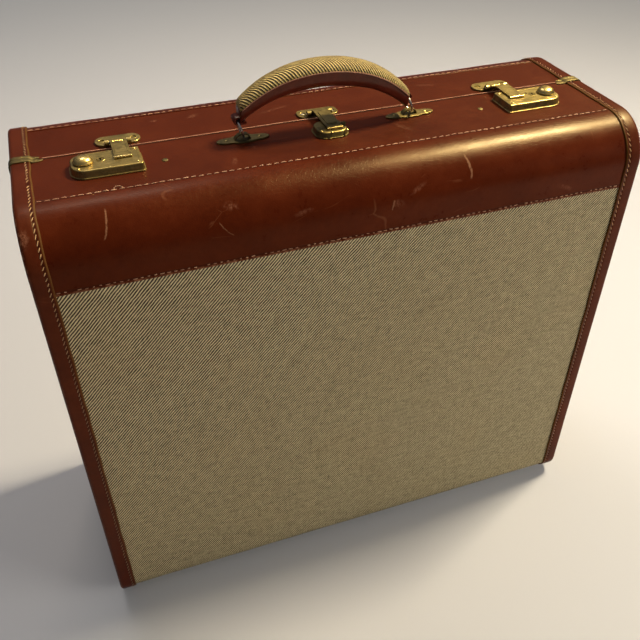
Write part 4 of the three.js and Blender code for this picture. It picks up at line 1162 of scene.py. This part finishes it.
    # low spine pressed in the tongue
    for k in (-1, 1):
        tube(g, [(hx + k * 4.9, y, t0 + 1.3) for y in (1, -4, -12, -20, -23)], [0.1, 0.32, 0.34, 0.32, 0.1], 8, 0, False, 0.7, up=(0, 0, 1))
    for k in (-1, 1):
        a, b = sorted((hx + k * 4.75, hx + k * 6.75))
        barrel(g, a, b, 2.6)
    plate(g, rounded(hx - 1.6, hx + 1.6, -23.6, -19.6, 0.5, 3), z0 + 2.4, t0 + 0.4, 0.1)
    g.build(f"hasp_{side}_v", ["brass", "brass_bright"], f"{side}_hasp", [f"hasp_{side}"], weighted=True)

    # coil spring and pin
    g = Geo()
    pts = []
    turns = 8.5
    for i in range(int(turns * 18) + 1):
        t = 2 * PI * i / 18
        pts.append((hx - 4.25 + 8.5 * i / (turns * 18), PIVOT_Y + 1.82 * math.cos(t), PIVOT_Z + 1.82 * math.sin(t)))
    tube(g, pts, 0.44, 8)
    g.build(f"hasp_spring_{side}_v", ["brass_bright"], "back_half", [f"hasp_spring_{side}"], sharp=70)
    g = Geo()
    turned(g, [(0, hx - 11.3), (0.8, hx - 11.25), (1.1, hx - 10.9), (1.1, hx + 10.9), (0.8, hx + 11.25), (0, hx + 11.3)], (0, PIVOT_Y, PIVOT_Z), "x", 18)
    g.build(f"hasp_pin_{side}_v", ["steel"], "back_half", [f"hasp_pin_{side}"])

# ---------------------------------------------------------------- centre lock
cx = HW_X - 0.5
zc1 = TOP + 5.5
g = Geo()
# the lock's base, trim, plate and hasp use the darker brass: painted shade from the handle over them
plate(g, rounded(cx - 17, cx + 13, -38, -10, 10, 5), z0, zc1, 1.5, (), 6, foot=(0.9, 0.8), draft=0.8)
o = g.build("center_lock_base_v", ["brass_dark", "slot_shade"], "front_half", ["center_lock_base"])
cut(o, [cutter(rounded(cx - 2.6, cx + 2.6, -28.8, -6, 0.4, 2), z0 + 1.5, zc1 + 2)])
g = Geo()
turned(g, [(0, -0.3), (2.45, -0.3), (2.5, 0.4), (2.35, 1.0), (1.95, 1.5), (1.35, 1.85), (0.7, 1.98), (0, 2.0)], (cx + 10.1, -24, zc1), "z", 30)
for x, y in ((cx - 12.2, -31.6), (cx - 4.6, -36.2), (cx + 9.0, -36.0)):
    ball(g, (x, y, zc1 - 0.25), 1.25, 0.8, 16, 1)
g.build("center_lock_trim", ["brass_dark", "brass_bright"], "front_half", (), sharp=60)

g = Geo()
sh = rounded(cx - 19, cx + 19, PIVOT_Y - 2.0, PIVOT_Y + 14, 6, 7)
plate(g, sh, z0, z0 + 1.7, 0.5, [circle(cx + k * 13.6, PIVOT_Y + 6.4, 2.3, 20) for k in (-1, 1)], 4)
for k in (-1, 1):
    turned(g, [(0, 0.1), (2.25, 0.1), (2.2, 0.7), (1.7, 1.1), (0.8, 1.3), (0, 1.35)], (cx + k * 13.6, PIVOT_Y + 6.4, z0), "z", 20, 1)
    a, b = sorted((cx + k * 7.5, cx + k * 11.5))
    barrel(g, a, b, 2.6)
    rings = []
    for y, zl, zh in ((PIVOT_Y - 0.4, z0 + 0.2, PIVOT_Z - 0.6), (PIVOT_Y + 0.8, z0 + 0.1, PIVOT_Z + 0.3), (PIVOT_Y + 2.4, z0 + 0.1, PIVOT_Z - 0.5), (PIVOT_Y + 4.0, z0 + 0.1, z0 + 2.0)):
        rings.append([(a, y, zl), (b, y, zl), (b, y, zh), (a, y, zh)])
    loft(g, [r[::-1] for r in rings])
g.build("hasp_plate_center_v", ["brass_dark", "steel"], "back_half", ["hasp_plate_center"], weighted=True)

g = Geo()
t0 = TOP + 6.1
line = [(PIVOT_Y - 0.2, PIVOT_Z + 2.0), (PIVOT_Y - 1.4, PIVOT_Z + 2.5), (PIVOT_Y - 2.8, PIVOT_Z + 2.95), (PIVOT_Y - 4.6, PIVOT_Z + 3.25), (PIVOT_Y - 7, t0 + 0.85), (-6, t0 + 0.8), (-16, t0 + 0.8), (-26, t0 + 0.8), (-29.5, t0 + 0.9), (-31.4, t0 + 0.85)]
ribbon(g, line, 1.35, cx - 7, cx + 7)
tube(g, [(cx - 7.2, -31.6, t0 + 0.65), (cx - 6.9, -31.6, t0 + 0.65), (cx, -31.7, t0 + 0.65), (cx + 6.9, -31.6, t0 + 0.65), (cx + 7.2, -31.6, t0 + 0.65)], [0.7, 1.0, 1.05, 1.0, 0.7], 14, 1)
barrel(g, cx - 7, cx + 7, 2.6)
plate(g, rounded(cx - 4.6, cx + 4.6, -24.5, 2.0, 2.2, 5), t0 + 1.2, t0 + 2.1, 0.5, (), 3)
plate(g, rounded(cx - 1.8, cx + 1.8, -27.8, -23.8, 0.5, 3), z0 + 2.0, t0 + 0.4, 0.1)
g.build("hasp_center_v", ["brass_dark", "brass_bright"], "center_hasp", ["hasp_center"], weighted=True)
g = Geo()
turned(g, [(0, cx - 11.8), (0.8, cx - 11.75), (1.1, cx - 11.4), (1.1, cx + 11.4), (0.8, cx + 11.75), (0, cx + 11.8)], (0, PIVOT_Y, PIVOT_Z), "x", 18)
g.build("hasp_pin_center_v", ["steel"], "back_half", ["hasp_pin_center"])

# two old rivets in the front half's top
g = Geo()
for x, y in ((-147.5, -29.0), (141.5, -24.5)):
    turned(g, [(0, -0.3), (2.6, -0.3), (2.6, 0.1), (2.3, 0.42), (1.6, 0.62), (0.8, 0.7), (0, 0.72)], (x, y, TOP), "z", 22)
g.build("top_rivets", ["brass_old"], "front_half", (), sharp=60)

# ---------------------------------------------------------------- handle
for side, s in (("left", -1), ("right", 1)):
    mx = HW_X + s * MOUNT_U
    g = Geo()
    half_out = [(23, 0), (22.5, 1.5), (20.8, 3.2), (17.8, 4.5), (14, 5.0), (11, 5.1), (9.2, 5.5), (7.6, 6.4), (5.6, 6.8), (0, 6.85)]
    out = [(mx + u, MOUNT_Y + v) for u, v in half_out] + [(mx - u, MOUNT_Y + v) for u, v in reversed(half_out[:-1])]
    out += [(mx - u, MOUNT_Y - v) for u, v in half_out[1:]] + [(mx + u, MOUNT_Y - v) for u, v in reversed(half_out[1:-1])]
    # the mount plates use the darker brass: painted shade
    plate(g, out, z0, z0 + 1.45, 0.5, (), 4)
    # a strap pressed up over the ring
    line = [(-8.8, z0 + 1.2), (-7.6, z0 + 1.6), (-6.9, z0 + 2.7), (-5.9, z0 + 4.3), (-4.4, z0 + 5.45), (-1.5, z0 + 6.35), (1.0, z0 + 6.3), (3.2, z0 + 5.9), (4.7, z0 + 4.6), (5.5, z0 + 2.9), (6.2, z0 + 1.6), (7.6, z0 + 1.2)]
    g3 = Geo()
    ribbon(g3, [(u, z - 0.55) for u, z in line], 1.15, -2.6, 2.6)
    g.add([(mx + y, MOUNT_Y - x, z) for x, y, z in g3.v], g3.f)
    for k in (-1, 1):
        tube(g, [(x, y, z0 + 1.38) for x, y in circle(mx + k * 14.6, MOUNT_Y, 3.0, 26)], 0.4, 8, 0, True, 0.6, up=(0, 0, 1))
        ball(g, (mx + k * 14.6, MOUNT_Y, z0 + 1.4), 1.6, 0.8, 18, 1)
    g.build(f"handle_mount_{side}_v", ["brass_dark", "brass"], "front_half", [f"handle_mount_{side}"], weighted=True)

    g = Geo()
    rx = mx + RING_DX
    pts = []
    for i in range(56):
        t = 2 * PI * i / 56
        yy, zz = RING_R * math.cos(t), RING_R * math.sin(t)
        pts.append((rx - zz * math.sin(RING_LEAN), MOUNT_Y + yy, RING_Z + zz * math.cos(RING_LEAN)))
    tube(g, pts, 1.1, 14, 0, True)
    g.build(f"handle_ring_{side}_v", ["nickel"], "handle", [f"handle_ring_{side}"], sharp=80)

outer_z = lambda x: 60.7 - 25.5 * (x / 80) ** 2 - 9 * (x / 80) ** 4
under_z = lambda x: 38.7 - 19.5 * (x / 78) ** 2 - 8 * (x / 78) ** 4
split_z = lambda x: under_z(x) + 0.64 * (outer_z(x) - under_z(x))
wide = lambda x: 15 + 9 * math.sqrt(max(0, 1 - (x / 80) ** 2))
roll = Matrix.Translation((HANDLE_X, MOUNT_Y, TOP)) @ Matrix.Rotation(HANDLE_ROLL, 4, "Y")
unroll = roll.inverted()
to_case = lambda p: tuple(roll @ Vector(p))
arc_at = [0.0]
for i in range(1, 161):
    x = i * 0.5
    arc_at.append(arc_at[-1] + math.hypot(0.5, outer_z(x) - outer_z(x - 0.5)))
arc = lambda x: math.copysign(arc_at[min(160, int(abs(x) * 2))] + (abs(x) * 2 % 1) * 0.6, x)


def handle_uv(p):
    q = unroll @ p
    a = math.atan2(q.z - split_z(q.x) + 1.0, -q.y)
    return (arc(max(-80, min(80, q.x))) * 0.01, a * 11.5 * 0.01)


# twill over the top half of the grip, standing a little proud of the leather
g = Geo()
rings = []
stations = [-75.6, -75.2, -74.4, -73] + [-70 + 2.5 * i for i in range(57)] + [73, 74.4, 75.2, 75.6]
for x in stations:
    e = min(1.0, (76 - abs(x)) / 2.6)
    puff = math.sqrt(max(0.05, 1 - (1 - e) ** 2))
    a = wide(x) / 2 * (0.86 + 0.14 * puff)
    zs, zt = split_z(x), outer_z(x)
    hgt = (zt - zs) * (0.72 + 0.28 * puff)
    slope = (outer_z(x + 0.5) - outer_z(x - 0.5))
    ring = []
    for i in range(25):
        t = PI * i / 24
        c, sn = math.cos(t), math.sin(t)
        y = a * math.copysign(abs(c) ** 0.82, c)
        z = zs + 0.5 + (hgt - 0.5) * abs(sn) ** 0.9
        ring.append((x, y + wob(x, y, z, 16, 0.25), z + wob(x, z, y, 19, 0.22)))
    ring += [(x, -a + 0.5, zs - 0.25), (x, -a + 1.6, zs - 0.1), (x, 0, zs + 0.3), (x, a - 1.6, zs - 0.1), (x, a - 0.5, zs - 0.25)]
    rings.append(ring[::-1])
loft(g, rings, move=to_case)


def twill_handle():
    m = Mat("twill_handle")
    uv = m.uv("weave")
    n = m.node("ShaderNodeSeparateXYZ")
    m.put(n.inputs[0], uv)
    u, v = m.mul(n.outputs[0], 0.1), m.mul(n.outputs[1], 0.1)  # back to metres
    fine = m.noise(600, 2, 0.6)
    wobble = m.mul(m.sub(m.noise(120, 2, 0.5), 0.5), 0.0006)
    d = m.add(m.add(u, m.mul(v, 0.66)), wobble)
    k = 2 * PI / 0.0027
    rib = m.math("MULTIPLY_ADD", m.math("SINE", m.mul(d, k)), 0.5, 0.5)
    e = m.sub(u, v)
    cross = m.math("MULTIPLY_ADD", m.math("SINE", m.mul(e, 2 * PI / 0.0012)), 0.5, 0.5)
    fac = m.step(m.add(rib, m.add(m.mul(m.sub(fine, 0.5), 0.5), m.mul(m.sub(cross, 0.5), 0.22))), 0.22, 0.62)
    # the yarn's gold tint is painted warm lamplight; the cloth is the same cream twill as the canvas
    gold = m.ramp(m.noise(90, 4, 0.65), [(0.35, (0.46, 0.31, 0.085)), (0.62, (0.66, 0.48, 0.15))])
    col = m.mix(fac, (0.030, 0.016, 0.006), gold)
    x, y, z = m.xyz()
    worn = m.step(m.math("ABSOLUTE", m.add(x, 0.006)), 0.058, 0.082, 0, 0.35)
    col = m.mix(worn, col, (0.10, 0.055, 0.022))
    h = m.add(m.mul(rib, 1.0), m.add(m.mul(cross, 0.3), m.mul(fine, 0.3)))
    return m.set(base=col, rough=0.6, normal=m.bump(h, 0.0008, 0.9), spec=0.28)


MAT["twill_handle"] = twill_handle()
g.build("handle_twill", ["twill_handle"], "handle", ["handle_canvas"], sharp=60, uv=handle_uv)

# leather under it, its edges folded, and the tabs that hold the rings
g = Geo()
rings = []
for x in [-75.8, -75.4, -74.5] + [-72 + 3 * i for i in range(49)] + [74.5, 75.4, 75.8]:
    e = min(1.0, (76 - abs(x)) / 2.2)
    puff = math.sqrt(max(0.08, 1 - (1 - e) ** 2))
    a = (12 + 8 * math.sqrt(max(0, 1 - (x / 81) ** 2))) / 2 * (0.88 + 0.12 * puff)
    zs, zu = split_z(x) + 0.25, under_z(x)
    ring = []
    prof = [(-a, 0.98), (-a - 0.15, 0.7), (-a, 0.42), (-a * 0.93, 0.2), (-a * 0.78, 0.06), (-a * 0.45, 0.0), (0, -0.015), (a * 0.45, 0.0), (a * 0.78, 0.06), (a * 0.93, 0.2), (a, 0.42), (a + 0.15, 0.7), (a, 0.98), (a * 0.5, 1.03), (0, 1.04), (-a * 0.5, 1.03)]
    for y, q in prof:
        z = zu + (zs - zu) * q
        ring.append((x, y + wob(x, y, z, 12, 0.18), z + wob(z, x, y, 15, 0.15)))
    rings.append(ring[::-1] if True else ring)
rings = [r[::-1] for r in rings]
loft(g, rings, move=to_case)
for k in (-1, 1):
    rx = HW_X + k * MOUNT_U + RING_DX
    top = rx - RING_R * math.sin(RING_LEAN)
    zt = RING_Z + RING_R * math.cos(RING_LEAN)
    # a folded loop of leather round the ring's top
    pts = []
    for i in range(13):
        t = PI * (i / 12) - PI / 2
        pts.append((top + k * (0.4 + 2.3 * math.cos(t)), zt + 0.1 + 2.5 * math.sin(t)))
    line = [(top - k * 7.5, zt - 2.3)] + [(top - k * 3.5, zt - 2.4)] + pts + [(top - k * 3.5, zt + 2.7), (top - k * 7.5, zt + 2.9)]
    rings = []
    n = len(line)
    for i, (x, z) in enumerate(line):
        a, b = line[max(0, i - 1)], line[min(n - 1, i + 1)]
        tx, tz = b[0] - a[0], b[1] - a[1]
        ln = math.hypot(tx, tz)
        nx, nz = -tz / ln, tx / ln
        w = 5.4
        prof = [(-w, -0.45), (-w + 0.25, -0.75), (w - 0.25, -0.75), (w, -0.45), (w, 0.45), (w - 0.25, 0.75), (-w + 0.25, 0.75), (-w, 0.45)]
        rings.append([(x + nx * q, MOUNT_Y + y, z + nz * q) for y, q in prof])
    loft(g, rings if k > 0 else [r[::-1] for r in rings])
g.build("handle_leather_v", ["grip"], "handle", ["handle_leather"], sharp=60)

# a thin folded edge where the twill meets the leather; the path for stitches under it is worked out but not used
g = Geo()
for k in (-1, 1):
    pts, pth = [], []
    for i in range(61):
        x = -74.5 + 149 * i / 60
        a = wide(x) / 2
        pts.append(to_case((x, k * (a - 0.25), split_z(x) + 0.05)))
        if abs(x) < 70:
            b = (12 + 8 * math.sqrt(max(0, 1 - (x / 81) ** 2))) / 2
            pth.append((to_case((x, k * (b + 0.1), split_z(x) - 2.3)), (0, k, 0)))
    tube(g, pts, 0.55, 8, 0)
g.build("handle_edge", ["raw_edge"], "handle", (), sharp=80)

# ---------------------------------------------------------------- inside
for half in (FRONT, BACK):
    nm, body, sy = half.name, f"{half.name}_half", half.sy
    g = Geo()
    ss = half.s_stops(0, half.length, 9, 4.0, 0.4, 0.4)
    xs = stops(-259.2, 259.2, 9)
    outer = [half.point(s, x, 7.25) for s in ss for x in xs]
    inner = [half.point(s, x, 8.0 + max(0, min(1, s / 12, (half.length - s) / 12)) * (0.5 + wob(x, s, 6.0 * sy, 45, 0.9) + wob(x, s, 1.3 * sy, 18, 0.25))) for s in ss for x in xs]
    skin(g, outer, inner, len(ss), len(xs), 0, 1, flip=half.sy < 0)
    for sx in (-1, 1):
        rim = [half.point(s, 0, 7.4)[1:] for s in half.s_stops(0, half.length, 9, 5)]
        area = sum(a[0] * b[1] - b[0] * a[1] for a, b in zip(rim, rim[1:] + rim[:1]))
        if area < 0:
            rim.reverse()
        fine = []
        small = inset(rim, 4)
        for yi in range(-96, 97, 10):
            for zi in range(18, 452, 10):
                if inside((yi, zi), small):
                    fine.append((yi, zi))
        pts = rim + fine
        tris = fill([rim], fine)
        n, k = len(pts), len(rim)
        v = []
        for i, (y, z) in enumerate(pts):
            d = 0.0 if i < k else 1.0
            v.append((sx * (258.5 - d * (0.4 + wob(sx * 7, y, z, 45, 0.9))), y, z))
        v += [(sx * 259.25, y, z) for y, z in rim]
        f = [tuple(reversed(t)) if sx > 0 else t for t in tris]
        f += [tuple(n + i for i in (t if sx > 0 else reversed(t))) for t in fill([rim])]
        for i in range(k):
            a, b = i, (i + 1) % k
            f.append((a, b, n + b, n + a) if sx > 0 else (b, a, n + a, n + b))
        g.add(v, f)
    g.build(f"{nm}_lining_v", ["lining", "tape"], body, [f"{nm}_lining"], sharp=50)

# outlines for a cloth tape over the lining's edges, where the halves meet; nothing is built from them
for half in (FRONT, BACK):
    g = Geo()
    yy = half.sy * half.y0
    ya = yy + half.sy * 0.05
    zt, zb, xe = 464.5 - 2.45, 4.5 + 2.45, 266.5 - 2.55
    loops = []
    for off in (0.0, 4.9):
        loops.append([(-xe + off, zb + off), (xe - off, zb + off), (xe - off, zt - off), (-xe + off, zt - off)])
# inner rim of board, covered in cloth
g = Geo()
xo, zt, zb = 258.1, 456.1, 12.9
ya, yb = -13.5, 14.5
sect = [(0.0, ya), (0.0, yb - 0.8), (0.25, yb - 0.25), (0.8, yb), (1.35, yb - 0.25), (1.6, yb - 0.8), (1.6, ya + 0.3), (1.3, ya)]
corner = [(-xo, zb), (xo, zb), (xo, zt), (-xo, zt)]
inward = [(1, 1), (-1, 1), (-1, -1), (1, -1)]
rings = []
for i in range(4):
    (x0c, z0c), (x1c, z1c) = corner[i], corner[(i + 1) % 4]
    (i0x, i0z), (i1x, i1z) = inward[i], inward[(i + 1) % 4]
    n = 40 if abs(x1c - x0c) > 1 else 34
    for j in range(n):
        t = j / n
        ring = []
        for q, y in sect:
            dx = (i0x * (1 - t) + i1x * t) if abs(x1c - x0c) > 1 else i0x
            dz = (i0z * (1 - t) + i1z * t) if abs(z1c - z0c) > 1 else i0z
            ax, az = x0c + i0x * q, z0c + i0z * q
            bx, bz = x1c + i1x * q, z1c + i1z * q
            ring.append((ax + (bx - ax) * t, y + wob(i * 50 + j, q, 2, 9, 0.15), az + (bz - az) * t))
        rings.append(ring)
loft(g, rings, 0, closed=True)
g.build("front_rim_v", ["rim"], "front_half", ["front_rim"], sharp=50)

# gathered pocket on the back half
g = Geo()
nx, nz = 150, 46
outer, inner = [], []
for i in range(nz + 1):
    q = i / nz
    z = 40 + 195 * q
    for j in range(nx + 1):
        r = j / nx
        x = -205 + 410 * r
        edge = min(1, min(r, 1 - r) / 0.05)
        low = min(1, q / 0.07)
        gather = (0.25 + 0.75 * q ** 1.6) * (1 if q < 0.95 else 0.65)
        ph = 46 * 2 * PI * r + 2.2 * noise.noise(Vector((r * 9, q * 0.8, 1.0))) + 1.2 * noise.noise(Vector((r * 23, q * 1.5, 4.0)))
        pleat = (0.5 + 0.5 * math.sin(ph)) * 2.3 * gather
        belly = 4.2 * math.sin(PI * min(1, q * 1.05)) ** 0.8 * (0.6 + 0.4 * math.sin(PI * r))
        sag = wob(x, z, 3, 60, 1.5)
        band = 1.1 * math.exp(-((q - 0.955) / 0.022) ** 2)
        h = 0.9 + (pleat + belly + sag * 0.7) * edge * low + band * edge
        zz = z + (1.1 * math.sin(ph * 0.5) * edge if i == nz else 0)
        outer.append((x, 96.7 - h - 0.7, zz))
        inner.append((x, 96.7 - max(0.0, h - 0.1) + 0.0, zz))
skin(g, outer, inner, nz + 1, nx + 1, 0, 1, flip=True)
g.build("back_pocket_v", ["lining", "tape"], "back_half", ["back_pocket"], sharp=80)
g = Geo()
for (x, za, zb) in ((-203, 42, 233), (203, 42, 233)):
    stitches(g, [((x, 94.6, z), (0, -1, 0)) for z in range(za, zb, 4)], 4.5, 3.2, 0.6, 0.25, 0.2)
stitches(g, [((x, 94.6, 43), (0, -1, 0)) for x in range(-200, 201, 4)], 4.5, 3.2, 0.6, 0.25, 0.2)
g.build("back_pocket_stitches", ["thread"], "back_half", ())

# boards keep their shape from the frame
for n in ("front_shell", "back_shell"):
    o = frame["nodes"][n]
    o.data.materials.clear()
    o.data.materials.append(MAT["board"])

# ---------------------------------------------------------------- stage, light, camera
fm = Mat("floor")
n1, n2 = fm.noise(1.3, 3, 0.5), fm.noise(60, 4, 0.6)
fcol = fm.mix(fm.mul(n1, 0.5), (0.61, 0.60, 0.585), (0.56, 0.552, 0.55))
fm.set(base=fcol, rough=fm.add(0.42, fm.mul(fm.sub(n2, 0.5), 0.1)), normal=fm.bump(n2, 0.0002, 0.2), spec=0.0)
# far from the case the floor fades into an even backdrop, for the camera only
BACKDROP = (0.30, 0.293, 0.278, 1)
fx, fy, _ = fm.xyz()
far = fm.step(fm.math("SQRT", fm.add(fm.mul(fx, fx), fm.mul(fy, fy))), 1.0, 3.6)
only = fm.node("ShaderNodeLightPath").outputs["Is Camera Ray"]
glow = fm.node("ShaderNodeEmission")
glow.inputs[0].default_value = BACKDROP
both = fm.node("ShaderNodeMixShader")
fm.put(both.inputs[0], fm.mul(far, only))
fm.put(both.inputs[1], fm.p.outputs[0])
fm.put(both.inputs[2], glow.outputs[0])
end = [n for n in fm.m.node_tree.nodes if n.type == "OUTPUT_MATERIAL"][0]
fm.m.node_tree.links.new(both.outputs[0], end.inputs["Surface"])
me = bpy.data.meshes.new("floor")
me.from_pydata([(-6, -6, 0), (6, -6, 0), (6, 6, 0), (-6, 6, 0)], [], [(0, 1, 2, 3)])
me.materials.append(fm.m)
floor = bpy.data.objects.new("floor", me)
bpy.context.scene.collection.objects.link(floor)
# the open front half comes to rest lower down, and the floor goes with it
dv = floor.driver_add("location", 2).driver
dv.type = "SCRIPTED"
var = dv.variables.new()
var.name, var.type = "a", "TRANSFORMS"
var.targets[0].id = frame["bodies"]["front_half"]
var.targets[0].transform_type = "ROT_X"
var.targets[0].transform_space = "WORLD_SPACE"
dv.expression = "0.0036 - 0.1115*sin(a) - 0.0036*cos(a)"

world = bpy.data.worlds.new("studio")
bpy.context.scene.world = world
world.use_nodes = True
wt = world.node_tree
bg = wt.nodes["Background"]
co = wt.nodes.new("ShaderNodeTexCoord")
sep = wt.nodes.new("ShaderNodeSeparateXYZ")
rp = wt.nodes.new("ShaderNodeValToRGB")
wt.links.new(co.outputs["Generated"], sep.inputs[0])
wt.links.new(sep.outputs[2], rp.inputs[0])
rp.color_ramp.elements[0].position, rp.color_ramp.elements[0].color = 0.0, (0.055, 0.056, 0.062, 1)
rp.color_ramp.elements[1].position, rp.color_ramp.elements[1].color = 0.95, (0.26, 0.265, 0.285, 1)
seen, pick = wt.nodes.new("ShaderNodeLightPath"), wt.nodes.new("ShaderNodeMix")
pick.data_type = "RGBA"
wt.links.new(seen.outputs["Is Camera Ray"], pick.inputs[0])
wt.links.new(rp.outputs[0], pick.inputs[6])
pick.inputs[7].default_value = tuple(c / 0.8 for c in BACKDROP[:3]) + (1,)
wt.links.new(pick.outputs[2], bg.inputs[0])
bg.inputs[1].default_value = 0.8
bpy.context.scene.view_settings.view_transform = "Standard"
bpy.context.scene.view_settings.look = "None"


def area(name, at, to, size, power, colour, sy=None):
    d = bpy.data.lights.new(name, "AREA")
    d.energy, d.color = power, colour
    d.shape, d.size, d.size_y = "RECTANGLE", size, sy or size
    o = bpy.data.objects.new(name, d)
    o.location = at
    o.rotation_euler = (Vector(to) - Vector(at)).to_track_quat("-Z", "Y").to_euler()
    bpy.context.scene.collection.objects.link(o)
    return o


area("key", (1.22, 0.16, 2.14), (0.05, -0.05, 0.30), 0.38, 60, (1.0, 0.87, 0.66), 0.38).visible_glossy = False
area("lamp", (1.22, 0.16, 2.14), (0.05, -0.05, 0.30), 0.22, 225, (1.0, 0.80, 0.42), 0.22).visible_diffuse = False
area("fill", (1.50, -1.1, 0.62), (0.05, 0, 0.2), 0.9, 20, (1.0, 0.97, 0.92)).visible_glossy = False
area("back", (-0.6, 2.0, 2.4), (0, 0, 0.2), 1.2, 14, (0.90, 0.93, 1.0)).visible_glossy = False

area("window", (-0.16, 0.78, 1.95), (-0.1, -0.09, 0.45), 0.42, 8, (1.0, 0.88, 0.80), 0.24)

cam = bpy.data.cameras.new("camera")
cam.lens, cam.sensor_width, cam.sensor_fit = 36.0 * 749.7268 / 640.0, 36.0, "HORIZONTAL"
cam.clip_start, cam.clip_end = 0.01, 50
camera = bpy.data.objects.new("camera", cam)
bpy.context.scene.collection.objects.link(camera)
yaw, pitch, rl = 0.336976, 0.676869, -0.002352
fwd = Vector((math.sin(yaw) * math.cos(pitch), math.cos(yaw) * math.cos(pitch), -math.sin(pitch)))
right = Vector((math.cos(yaw), -math.sin(yaw), 0))
up = right.cross(fwd)
rt = right * math.cos(rl) + up * math.sin(rl)
upp = up * math.cos(rl) - right * math.sin(rl)
rot = Matrix((rt, upp, -fwd)).transposed().to_4x4()
camera.matrix_world = Matrix.Translation((-0.21255, -0.59216, 0.74127)) @ rot
bpy.context.scene.camera = camera
